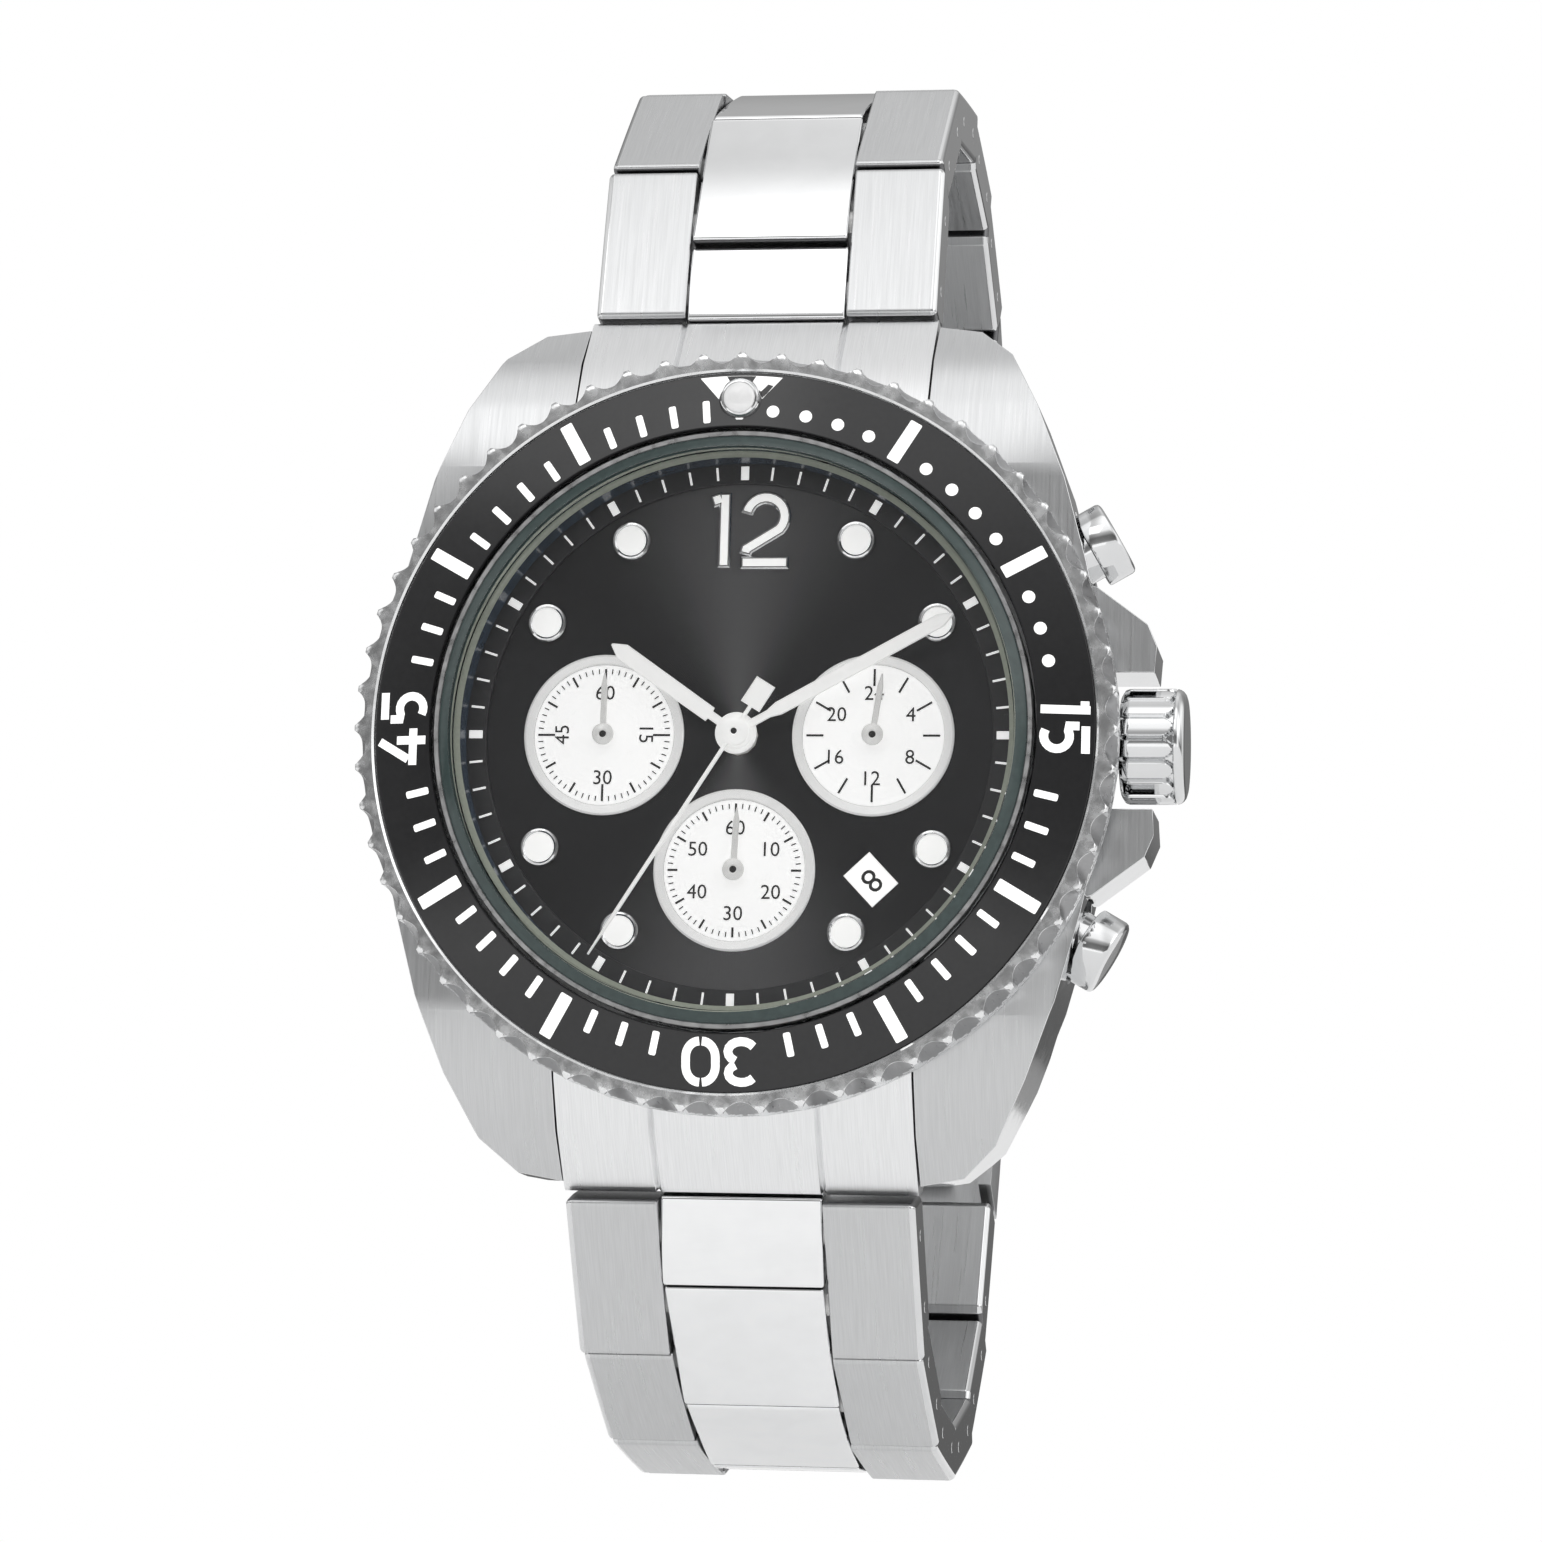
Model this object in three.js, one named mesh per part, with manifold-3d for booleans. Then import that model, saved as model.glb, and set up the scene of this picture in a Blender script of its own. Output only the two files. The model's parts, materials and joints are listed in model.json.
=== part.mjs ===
// Chronograph dive watch on a three-link steel bracelet, closed as on a wrist. Millimetres.
// The origin is the centre of the case back. +X points to the crown, +Y out of the case back and
// +Z to twelve o'clock, so the dial faces -Y and every round part of the head turns about Y.
import * as THREE from 'three';
import { mergeVertices } from 'three/addons/utils/BufferGeometryUtils.js';
import Module from 'manifold-3d';

const wasm = await Module();
wasm.setup();

// ---- head, heights along Y ------------------------------------------------------------------
const CASE_BOTTOM = -1.0;
const CASE_TOP = -7.6;
const DIAL_FRONT = -7.2;
const DIAL_BACK = -6.8;
const FLANGE_BACK = -7.5;
const CRYSTAL_SEAT = -9.2;
const NECK_TOP = -10.45;
const CRYSTAL_TOP = -11.0;
const BUTTON_HEIGHT = -4.3;
const BEZEL_Y = { under: -7.75, side: [-8.15, -9.7], top: -10.2 };
const INSERT_Y = { inner: -10.6, outer: -10.05 };
const PEARL_TOP = -10.98;
const HAND_Y = { hour: [-8.05, -7.9], minute: [-8.4, -8.25], chrono: [-8.75, -8.6], small: [-7.7, -7.58] };
// ---- head, radii ----------------------------------------------------------------------------
const BODY_R = 20.2;
const CAVITY_R = 16.2;
const FLANGE_R = 15.2;
const SEAT_R = 15.85;
const NECK_R = 16.4;
const CRYSTAL_R = 15.45;
const BACK_R = 17.4;
const BACK_GASKET_R = [16.5, 17.1];
// ---- bezel ----------------------------------------------------------------------------------
const BEZEL_R = 21.0;
const BEZEL_VALLEY_R = 20.45;
const BEZEL_TEETH = 60;
const INSERT_R = [16.65, 19.8];
const PEARL_R = 1.2;
const PEARL_AT = 18.25;
// ---- dial train -----------------------------------------------------------------------------
const SUBDIAL_AT = 7.45;
const DATE_AT = 10.9;
const DATE_ANGLE = 136.5;
const MOVEMENT_R = 14.5;
const MOVEMENT_Y = [-6.4, -1.7];
const DATE_DISC_R = [9.3, 12.5];
// ---- crown and pushers ----------------------------------------------------------------------
const CROWN_R = 3.25;
const CROWN_X = [20.75, 24.3];
const CROWN_LOBES = 14;
const STEM_R = 0.6;
const PUSHER_ANGLE = 30;
const PUSHER_CAP = [21.75, 23.45];
const PUSHER_CAP_R = 2.15;
const PUSHER_NECK_R = 1.6;
// ---- lugs and bracelet ----------------------------------------------------------------------
const LUG_HALF_GAP = 9.95;
const SPRING_BAR = { y: -1.7, z: 21.8, r: 0.75, half: 10.95 };
const END_SLOPE = 14;
const END_REACH = 2.55;
const LINK_T = 1.6;
const PIN_GAP = 4.6;
const FIRST_PIN_GAP = 5.0;
const OVERHANG = PIN_GAP / 2 - 0.08;
const PIN_R = 0.6;
const PIN_BORE_R = 0.7;
const HALF_WIDTH = [9.8, 9.0];
const CENTRE_HALF = [4.5, 4.1];
const SIDE_GAP = 0.1;
// Tilt of each link away from the dial plane, in degrees, from the lug outwards.
const UPPER_TILTS = [12, 15, 31, 49, 66, 82, 94, 104, 113, 122, 132, 142];
const LOWER_TILTS = [17, 35, 51, 62, 71, 81, 92, 104, 116, 128, 140, 152];
// ---- clasp ----------------------------------------------------------------------------------
const CLASP_R = 46;
const COVER_HALF = 9.0;
const COVER_WALL = 0.8;
const BLADE_HALF = 6.2;
const BLADE_PIN_R = 0.6;
const KNUCKLE_HALF = 2.6;
const CLASP_EYE = { r: 1.4, bore: 0.7, half: 3.9 };

// ---- facets to a turn -----------------------------------------------------------------------
const FINE = 48;
const COARSE = 32;

// ---- materials ------------------------------------------------------------------------------
const material = (color, roughness, metalness) => {
  return new THREE.MeshStandardMaterial({ color, roughness, metalness });
};
const brushed = material(0xc4c6c8, 0.38, 1);
const polished = material(0xdcdee0, 0.12, 1);
const black = material(0x0c0d0f, 0.15, 0.1);
const charcoal = material(0x2b2d30, 0.35, 0.4);
const white = material(0xf2f2ee, 0.5, 0);
const rubber = material(0x141414, 0.8, 0);
const brass = material(0xc8a860, 0.35, 1);
const glass = new THREE.MeshStandardMaterial({
  color: 0xeaf4f0, roughness: 0.04, metalness: 0, transparent: true, opacity: 0.25,
});

// ---- geometry helpers -----------------------------------------------------------------------
const rad = THREE.MathUtils.degToRad;
const swap = (a, b, c) => new THREE.Matrix4().makeBasis(a, b, c);
const X = new THREE.Vector3(1, 0, 0);
const Y = new THREE.Vector3(0, 1, 0);
const Z = new THREE.Vector3(0, 0, 1);

function outline(points, holes = []) {
  const shape = new THREE.Shape(points.map((p) => new THREE.Vector2(...p)));
  for (const hole of holes) {
    shape.holes.push(new THREE.Path(hole.map((p) => new THREE.Vector2(...p))));
  }
  return shape;
}

// Points of an arc, angles in degrees from the first axis towards the second.
function arc(u, v, r, from, to, steps) {
  const points = [];
  for (let i = 0; i <= steps; i += 1) {
    const a = rad(from + ((to - from) * i) / steps);
    points.push([u + r * Math.cos(a), v + r * Math.sin(a)]);
  }
  return points;
}

const ring = (u, v, r, steps) => arc(u, v, r, 0, 360, steps).slice(0, -1);

// An outline in (y, z), drawn out along X between two planes.
function alongX(shape, low, high) {
  const g = new THREE.ExtrudeGeometry(shape, { depth: high - low, bevelEnabled: false });
  return g.translate(0, 0, low).applyMatrix4(swap(Y, Z, X));
}

// An outline in (x, z), drawn out along Y between two planes.
function alongY(shape, low, high) {
  const g = new THREE.ExtrudeGeometry(shape, { depth: high - low, bevelEnabled: false });
  return g.rotateX(Math.PI / 2).translate(0, high, 0);
}

// A closed profile of [radius, y], turned about Y; it is wound so that its faces point out.
function turned(profile, segments) {
  const area = THREE.ShapeUtils.area(profile.map((p) => new THREE.Vector2(...p)));
  const points = area > 0 ? [...profile] : [...profile].reverse();
  const onAxis = points.findIndex((p, i) => p[0] === 0 && points.at(i - 1)[0] === 0);
  const start = Math.max(onAxis, 0);
  const loop = [...points.slice(start), ...points.slice(0, start)];
  if (onAxis < 0) {
    loop.push(loop[0]);
  }
  return new THREE.LatheGeometry(loop.map((p) => new THREE.Vector2(...p)), segments);
}

const tubeProfile = (inner, outer, low, high) => [
  [inner, low], [outer, low], [outer, high], [inner, high],
];

const rodY = (r, low, high, sides = 16) => {
  return new THREE.CylinderGeometry(r, r, high - low, sides).translate(0, (low + high) / 2, 0);
};
const rodX = (r, low, high, sides = 16) => {
  return new THREE.CylinderGeometry(r, r, high - low, sides)
    .rotateZ(-Math.PI / 2).translate((low + high) / 2, 0, 0);
};
const block = (x, y, z) => {
  return new THREE.BoxGeometry(x[1] - x[0], y[1] - y[0], z[1] - z[0])
    .translate((x[0] + x[1]) / 2, (y[0] + y[1]) / 2, (z[0] + z[1]) / 2);
};

function solid(geometry) {
  const g = geometry.clone();
  g.deleteAttribute('normal');
  g.deleteAttribute('uv');
  const merged = mergeVertices(g.index ? g.toNonIndexed() : g, 1e-4);
  return new wasm.Manifold(new wasm.Mesh({
    numProp: 3,
    vertProperties: new Float32Array(merged.attributes.position.array),
    triVerts: new Uint32Array(merged.index.array),
  }));
}

function geometryOf(body) {
  const mesh = body.getMesh();
  const g = new THREE.BufferGeometry();
  g.setAttribute('position', new THREE.BufferAttribute(mesh.vertProperties, 3));
  g.setIndex(new THREE.BufferAttribute(mesh.triVerts, 1));
  g.computeVertexNormals();
  return g;
}

const cut = (base, ...tools) => {
  return geometryOf(tools.reduce((left, tool) => left.subtract(solid(tool)), solid(base)));
};
const join = (first, ...others) => {
  return geometryOf(others.reduce((left, other) => left.add(solid(other)), solid(first)));
};

// ---- the assembly ---------------------------------------------------------------------------
const watch = new THREE.Group();

function add(name, geometry, look, parent = watch) {
  const mesh = new THREE.Mesh(geometry, look);
  mesh.name = name;
  parent.add(mesh);
  return mesh;
}

// ---- case -----------------------------------------------------------------------------------
const CASE_PLAN_QUARTER = [
  [10, 24.1], [12.4, 23.7], [14.3, 22], [16, 18.6], [17.6, 14.4], [18.9, 9.6], [BODY_R - 0.3, 5],
];
const GUARD_PLAN = [[18, 8.9], [19.4, 8.5], [22.2, 6.4], [22.7, 5.2], [22.6, 3.75], [18, 3.75]];
const CASE_SIDE = [
  [0.2, 19.5], [-0.2, 16.8], [CASE_BOTTOM, 15.6], [CASE_BOTTOM, -15.6], [-0.2, -16.8], [0.2, -19.5],
  [0.3, -22.6], [-0.5, -23.9], [-2.7, -24.1], [-5.2, -21.6], [-6.8, -18.6], [CASE_TOP, -15.2],
  [CASE_TOP, 15.2], [-6.8, 18.6], [-5.2, 21.6], [-2.7, 24.1], [-0.5, 23.9], [0.3, 22.6],
];

function caseMiddle() {
  const q = CASE_PLAN_QUARTER;
  const plan = [
    ...q, ...q.map(([x, z]) => [x, -z]).reverse(),
    ...q.map(([x, z]) => [-x, -z]), ...q.map(([x, z]) => [-x, z]).reverse(),
  ];
  const mirror = (points) => points.map(([x, z]) => [x, -z]);
  const guard = (points) => solid(alongY(outline(points), CASE_BOTTOM - 5.4, CASE_BOTTOM - 0.9));
  const hole = (r, from, to, turn) => {
    return solid(rodX(r, from, to, 16).rotateY(rad(turn)).translate(0, BUTTON_HEIGHT, 0));
  };
  let body = solid(alongY(outline(plan), -8, 1)).intersect(solid(alongX(outline(CASE_SIDE), -30, 30)));
  body = body.add(guard(GUARD_PLAN)).add(guard(mirror(GUARD_PLAN)));
  body = body.add(solid(turned(tubeProfile(10, NECK_R, NECK_TOP, CASE_TOP + 0.4), FINE)));
  body = body.subtract(solid(turned(tubeProfile(0, CAVITY_R, FLANGE_BACK, 2), FINE)));
  body = body.subtract(solid(turned(tubeProfile(0, FLANGE_R, -12, 0), FINE)));
  body = body.subtract(solid(turned(tubeProfile(0, SEAT_R, -12, CRYSTAL_SEAT), FINE)));
  body = body.subtract(solid(turned(tubeProfile(0, BACK_R + 0.15, CASE_BOTTOM, 3), FINE)));
  const groove = tubeProfile(BACK_GASKET_R[0] - 0.1, BACK_GASKET_R[1] + 0.1, -1.5, 0);
  body = body.subtract(solid(turned(groove, COARSE)));
  // Room between the lugs, outside the round wall of the body, for each end link.
  const well = solid(rodY(19.75, -9, 2, FINE));
  for (const side of [[12, 30], [-30, -12]]) {
    body = body.subtract(solid(block([-LUG_HALF_GAP, LUG_HALF_GAP], [-12, 3], side)).subtract(well));
  }
  for (const z of [SPRING_BAR.z, -SPRING_BAR.z]) {
    body = body.subtract(solid(rodX(0.5, -11.3, 11.3, 10).translate(0, SPRING_BAR.y, z)));
  }
  body = body.subtract(hole(1.62, 15, 24, 0));
  for (const turn of [PUSHER_ANGLE, -PUSHER_ANGLE]) {
    body = body.subtract(hole(PUSHER_NECK_R + 0.1, 17.2, 24, turn));
    body = body.subtract(hole(PUSHER_CAP_R + 0.25, PUSHER_CAP[0] - 1.15, 26, turn));
    body = body.subtract(hole(0.9, 15, 18, turn));
  }
  body = body.subtract(solid(bezelSpringBlank(0.15, -7.7, -7.1)));
  return geometryOf(body);
}

// The curved leaf that clicks against the underside of the bezel, in its pocket in the case.
function bezelSpringBlank(grow, low, high) {
  const middle = 18.1;
  const half = 0.45 + grow;
  const ends = [200 - 60 * grow / middle, 246 + 60 * grow / middle];
  const shape = outline([
    ...arc(0, 0, middle + half, ends[0], ends[1], 8),
    ...arc(0, 0, middle - half, ends[1], ends[0], 8),
  ]);
  return alongY(shape, low, high);
}

add('case_middle', caseMiddle(), brushed);
add('bezel_click_spring', bezelSpringBlank(0, -7.55, -7.2), polished);
add('case_back', turned([
  [0, 0], [16, 0], [BACK_R, -0.3], [BACK_R, -0.95], [16.05, -0.95], [16.05, -1.35], [0, -1.35],
], FINE), brushed);
add('case_back_gasket', turned(tubeProfile(...BACK_GASKET_R, -1.42, -1.0), COARSE), rubber);
add('crystal', turned([
  [0, CRYSTAL_TOP], [15.05, CRYSTAL_TOP], [CRYSTAL_R, CRYSTAL_TOP + 0.4],
  [CRYSTAL_R, CRYSTAL_SEAT - 0.05], [0, CRYSTAL_SEAT - 0.05],
], FINE), glass);
add('crystal_gasket', turned(tubeProfile(15.52, 15.78, -10.3, CRYSTAL_SEAT - 0.05), FINE), white);
add('crown_tube', cut(
  rodX(1.5, 16.5, 21.7, 16).translate(0, BUTTON_HEIGHT, 0),
  rodX(0.95, 16, 23, 16).translate(0, BUTTON_HEIGHT, 0),
), polished);

// ---- dial, movement and date ----------------------------------------------------------------
const subdials = {
  day_hour: [SUBDIAL_AT, 0], chrono_minutes: [-SUBDIAL_AT, 0], seconds: [0, -SUBDIAL_AT],
};

function dateWindow(halfRadial, halfAcross) {
  const turn = rad(DATE_ANGLE);
  const corners = [[-1, -1], [1, -1], [1, 1], [-1, 1]];
  return corners.map(([i, j]) => {
    const radial = DATE_AT + i * halfRadial;
    const across = j * halfAcross;
    return [
      radial * Math.sin(turn) + across * Math.cos(turn),
      radial * Math.cos(turn) - across * Math.sin(turn),
    ];
  });
}

const arborHoles = (centre, small) => [
  ring(0, 0, centre, 12), ...Object.values(subdials).map(([x, z]) => ring(x, z, small, 8)),
];

add('dial', alongY(outline(
  ring(0, 0, 16.0, FINE), [...arborHoles(1.1, 0.45), dateWindow(1.17, 0.95)],
), DIAL_FRONT, DIAL_BACK), charcoal);
add('chapter_ring', turned(tubeProfile(14.0, 15.95, DIAL_FRONT - 0.22, DIAL_FRONT - 0.03), FINE), black);
add('date_disc', turned(tubeProfile(...DATE_DISC_R, -6.72, -6.55), COARSE), white);

function movement() {
  const plate = alongY(outline(ring(0, 0, MOVEMENT_R, COARSE), arborHoles(1.1, 0.4)), ...MOVEMENT_Y);
  const batteryWell = rodY(4.95, -4.0, 0, 20).translate(-5.5, 0, 6.5);
  const stemWell = rodX(0.8, 11.5, 16, 8).translate(0, BUTTON_HEIGHT, 0);
  return cut(plate, batteryWell, stemWell);
}

function movementHolder() {
  const sleeve = turned(tubeProfile(14.75, 16.05, -6.7, -1.5), COARSE);
  const holes = [0, PUSHER_ANGLE, -PUSHER_ANGLE].map((turn) => {
    return rodX(1.05, 13, 18, 8).rotateY(rad(turn)).translate(0, BUTTON_HEIGHT, 0);
  });
  return cut(sleeve, ...holes);
}

add('movement', movement(), brass);
add('movement_holder', movementHolder(), white);
add('battery', rodY(4.75, -3.95, -1.85, 20).translate(-5.5, 0, 6.5), polished);

// ---- hands ----------------------------------------------------------------------------------
// A blade in the dial plane pointing to twelve: [half width, distance] pairs on its right side.
function blade(side, low, high) {
  return alongY(outline([...side, ...side.map(([x, z]) => [-x, z]).reverse()]), low, high);
}

function tubedHand(bladeSide, hubR, tube, low, high, tubeEnd) {
  const [bore, tubeR] = tube;
  const hub = rodY(hubR, low, high, 14);
  const parts = join(blade(bladeSide, low, high), hub, rodY(tubeR, low, tubeEnd, 10));
  return bore > 0 ? cut(parts, rodY(bore, low - 1, 1, 10)) : parts;
}

const hourSide = [[0.22, -1.2], [0.22, 1.8], [0.48, 2.6], [0.48, 7.4], [0.02, 8.6]];
const minuteSide = [[0.2, -1.2], [0.2, 1.8], [0.38, 2.8], [0.38, 12.2], [0.02, 13.5]];
const chronoSide = [[0.6, -3.2], [0.6, -1.6], [0.12, -1.6], [0.12, 11.5], [0.04, 14.5]];
const smallSide = [[0.16, 0.0], [0.16, 2.6], [0.03, 3.4]];

function pointHand(mesh, x, z, angle) {
  mesh.position.set(x, 0, z);
  mesh.rotation.y = rad(angle);
  return mesh;
}

const hourHand = tubedHand(hourSide, 1.15, [0.7, 0.95], ...HAND_Y.hour, -6.2);
const minuteHand = tubedHand(minuteSide, 0.95, [0.4, 0.6], ...HAND_Y.minute, -6.0);
const chronoHand = tubedHand(chronoSide, 0.8, [0, 0.3], ...HAND_Y.chrono, -5.8);
pointHand(add('hour_hand', hourHand, white), 0, 0, 305);
pointHand(add('minute_hand', minuteHand, white), 0, 0, 61);
pointHand(add('chrono_seconds_hand', chronoHand, polished), 0, 0, 212);
for (const [name, at, angle] of [
  ['day_hour_hand', subdials.day_hour, 8],
  ['chrono_minutes_hand', subdials.chrono_minutes, 0],
  ['running_seconds_hand', subdials.seconds, 2],
]) {
  const small = tubedHand(smallSide, 0.6, [0, 0.28], ...HAND_Y.small, -6.0);
  pointHand(add(name, small, polished), ...at, angle);
}

// ---- bezel ----------------------------------------------------------------------------------
// The ring is turned with two segments to a tooth, then every second outer edge is drawn in.
function bezelRing() {
  const [low, high] = BEZEL_Y.side;
  const bore = INSERT_R[0] - 0.03;
  const seat = INSERT_R[1] + 0.1;
  const g = turned([
    [bore, BEZEL_Y.under], [20.5, BEZEL_Y.under], [BEZEL_R, low], [BEZEL_R, high],
    [20.35, BEZEL_Y.top], [seat, BEZEL_Y.top], [seat, -9.6], [bore, -10.05],
  ], BEZEL_TEETH * 2);
  const p = g.attributes.position;
  for (let i = 0; i < p.count; i += 1) {
    const r = Math.hypot(p.getX(i), p.getZ(i));
    const step = Math.round((Math.atan2(p.getX(i), p.getZ(i)) / Math.PI) * BEZEL_TEETH);
    if (r > BEZEL_VALLEY_R && step % 2 !== 0) {
      p.setX(i, (p.getX(i) * BEZEL_VALLEY_R) / r);
      p.setZ(i, (p.getZ(i) * BEZEL_VALLEY_R) / r);
    }
  }
  return g;
}

function bezelInsert() {
  const [inner, outer] = INSERT_R;
  const ringBody = turned([
    [inner, -10.15], [outer, -9.7], [outer, INSERT_Y.outer], [inner, INSERT_Y.inner],
  ], FINE);
  return cut(ringBody, rodY(PEARL_R + 0.08, -12, -9, 16).translate(0, 0, PEARL_AT));
}

function pearl() {
  return turned([
    [0, PEARL_TOP], [0.6, PEARL_TOP + 0.1], [1.0, -10.62], [PEARL_R, -10.25], [PEARL_R, -10.03], [0, -10.03],
  ], 16).translate(0, 0, PEARL_AT);
}

add('bezel_ring', bezelRing(), polished);
add('bezel_insert', bezelInsert(), black);
add('bezel_pearl', pearl(), white);

// ---- crown and pushers ----------------------------------------------------------------------
const toCrownAxis = (g) => g.rotateZ(-Math.PI / 2).translate(0, BUTTON_HEIGHT, 0);

function crown() {
  const [inner, outer] = CROWN_X;
  const g = turned([
    [0, 22.6], [2.1, 22.6], [2.1, inner], [2.9, inner], [CROWN_R, inner + 0.3], [CROWN_R, 23.3],
    [3.05, 23.5], [3.05, outer - 0.25], [2.75, outer], [0, outer],
  ], CROWN_LOBES * 2);
  const p = g.attributes.position;
  for (let i = 0; i < p.count; i += 1) {
    const r = Math.hypot(p.getX(i), p.getZ(i));
    const step = Math.round((Math.atan2(p.getX(i), p.getZ(i)) / Math.PI) * CROWN_LOBES);
    if (r > CROWN_R - 0.01 && step % 2 !== 0) {
      p.setX(i, p.getX(i) * 0.94);
      p.setZ(i, p.getZ(i) * 0.94);
    }
  }
  return toCrownAxis(g);
}

add('crown', crown(), polished);
add('crown_stem', rodX(STEM_R, 12.6, CROWN_X[0] + 1.8, 12).translate(0, BUTTON_HEIGHT, 0), polished);
add('setting_sleeve', toCrownAxis(turned(tubeProfile(0.68, 0.9, 14.9, 16.1), 10)), brass);

function pusher() {
  const [inner, outer] = PUSHER_CAP;
  return toCrownAxis(turned([
    [0, 15.9], [0.75, 15.9], [0.75, 18.9], [PUSHER_NECK_R, 18.9], [PUSHER_NECK_R, inner],
    [PUSHER_CAP_R, inner], [PUSHER_CAP_R, outer - 0.25], [PUSHER_CAP_R - 0.25, outer], [0, outer],
  ], 16));
}

for (const [name, turn] of [['pusher_upper', -PUSHER_ANGLE], ['pusher_lower', PUSHER_ANGLE]]) {
  const mesh = add(name, pusher(), polished);
  mesh.rotation.y = rad(turn);
}

// ---- bracelet -------------------------------------------------------------------------------
// A strand's own frame has the spring bar at its start and runs along +Z, with the outside at -Y.
const step = (tilt, along, out) => [
  along * Math.sin(rad(tilt)) - out * Math.cos(rad(tilt)),
  along * Math.cos(rad(tilt)) + out * Math.sin(rad(tilt)),
];
const fromBar = (tilt, along, out) => {
  const [y, z] = step(tilt, along, out);
  return [SPRING_BAR.y + y, SPRING_BAR.z + z];
};

function endLink() {
  const side = outline([
    [0, 17], [-7.3, 17], [-6.75, 18.8], [-5.15, 21.6], fromBar(END_SLOPE, END_REACH - 0.3, LINK_T),
    fromBar(END_SLOPE, END_REACH, LINK_T - 0.3), fromBar(END_SLOPE, END_REACH, -0.3),
    fromBar(END_SLOPE, END_REACH - 0.5, -1.5), [0, 22.6],
  ]);
  const tongueRoom = outline([
    fromBar(END_SLOPE, -1.75, 1.25), fromBar(END_SLOPE, -1.75, -4), fromBar(END_SLOPE, 5, -4),
    fromBar(END_SLOPE, 5, 1.25), fromBar(END_SLOPE, 0.8, 1.25), fromBar(END_SLOPE, 0, 1.72),
    fromBar(END_SLOPE, -1.0, 1.5),
  ]);
  const half = CENTRE_HALF[0] + 2 * SIDE_GAP;
  return cut(
    alongX(side, 0.1 - LUG_HALF_GAP, LUG_HALF_GAP - 0.1),
    rodY(20.0, -12, 3, FINE),
    alongX(tongueRoom, -half, half),
    rodX(SPRING_BAR.r + 0.12, -12, 12, 14).translate(0, SPRING_BAR.y, SPRING_BAR.z),
  );
}

function springBar() {
  const { y, z, r, half } = SPRING_BAR;
  return join(rodX(r, -9.6, 9.6, 12), rodX(0.4, -half, half, 10)).translate(0, y, z);
}

// Side outline of a link about its two pins, in (y, z); the inner corners are cut back so that the
// strand can close round a wrist.
function linkOutline(holes) {
  const end = PIN_GAP + OVERHANG;
  const half = [
    [-LINK_T, end - 0.45], [0.13 - LINK_T, end - 0.13], [0.45 - LINK_T, end], [0.3, end],
    [1.35, end - 0.42], [LINK_T, end - 0.85],
  ];
  const other = half.map(([y, z]) => [y, PIN_GAP - z]).reverse();
  return outline([...half, ...other], holes);
}

const PIN_SIDES = 8;
const pinBores = [0, PIN_GAP].map((z) => ring(0, z, PIN_BORE_R, PIN_SIDES));

// Two outer links with the pins pressed into them, at the given distances along the link.
function outerPair(half, centreHalf, pinsAt) {
  const inner = centreHalf + SIDE_GAP;
  const plates = [[-half, -inner], [inner, half]].map(([low, high]) => {
    return alongX(linkOutline(), low, high);
  });
  const pins = pinsAt.map((z) => {
    return rodX(PIN_R, -inner - 0.5, inner + 0.5, PIN_SIDES).translate(0, 0, z);
  });
  return join(plates[0], plates[1], ...pins);
}

const centreLink = (half) => alongX(linkOutline(pinBores), -half, half);

// The half-length centre link that hangs on the spring bar inside the end link.
function firstCentreLink(half) {
  const end = FIRST_PIN_GAP + OVERHANG;
  const front = END_REACH + 0.1;
  const shape = outline([
    ...arc(0, 0, 1.35, 340, 150, 10), [-0.85, 1.3], [-0.85, front], [0.3 - LINK_T, front],
    [-LINK_T, front + 0.3], [-LINK_T, end - 0.45], [0.13 - LINK_T, end - 0.13],
    [0.45 - LINK_T, end], [0.3, end], [1.35, end - 0.42], [LINK_T, end - 0.85], [LINK_T, 3.4],
  ], [ring(0, 0, SPRING_BAR.r + 0.12, 12), ring(0, FIRST_PIN_GAP, PIN_BORE_R, PIN_SIDES)]);
  return alongX(shape, -half, half);
}

const taper = (range, i) => THREE.MathUtils.lerp(range[0], range[1], i / (UPPER_TILTS.length - 1));

// Builds one strand and returns the place of its last pin as [y, z] in the strand's frame. A strand
// with an open end has no spring bar in its last links, so that the clasp can leave them.
function strand(label, tilts, turn, openEnd) {
  const group = new THREE.Group();
  group.rotation.y = turn;
  watch.add(group);
  add(`end_link_${label}`, endLink(), brushed, group);
  add(`spring_bar_${label}`, springBar(), polished, group);
  let at = [SPRING_BAR.y, SPRING_BAR.z];
  tilts.forEach((tilt, i) => {
    const number = Math.floor((i + 1) / 2);
    const kind = i % 2 ? 'outer' : 'centre';
    const centreHalf = taper(CENTRE_HALF, i % 2 ? i - 1 : i);
    const open = openEnd && i === tilts.length - 1;
    const pinsAt = open ? [0] : [0, PIN_GAP];
    let geometry = i === 0 ? firstCentreLink(centreHalf) : centreLink(centreHalf);
    if (kind === 'outer') {
      geometry = outerPair(taper(HALF_WIDTH, i), centreHalf, pinsAt);
    }
    const name = `${label}_${kind}_link_${number + (i % 2 ? 0 : 1)}`;
    const mesh = add(name, geometry, i % 2 ? brushed : polished, group);
    mesh.position.set(0, ...at);
    mesh.rotation.x = -rad(tilt);
    const [dy, dz] = step(tilt, i === 0 ? FIRST_PIN_GAP : PIN_GAP, 0);
    at = [at[0] + dy, at[1] + dz];
  });
  return at;
}

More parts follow.
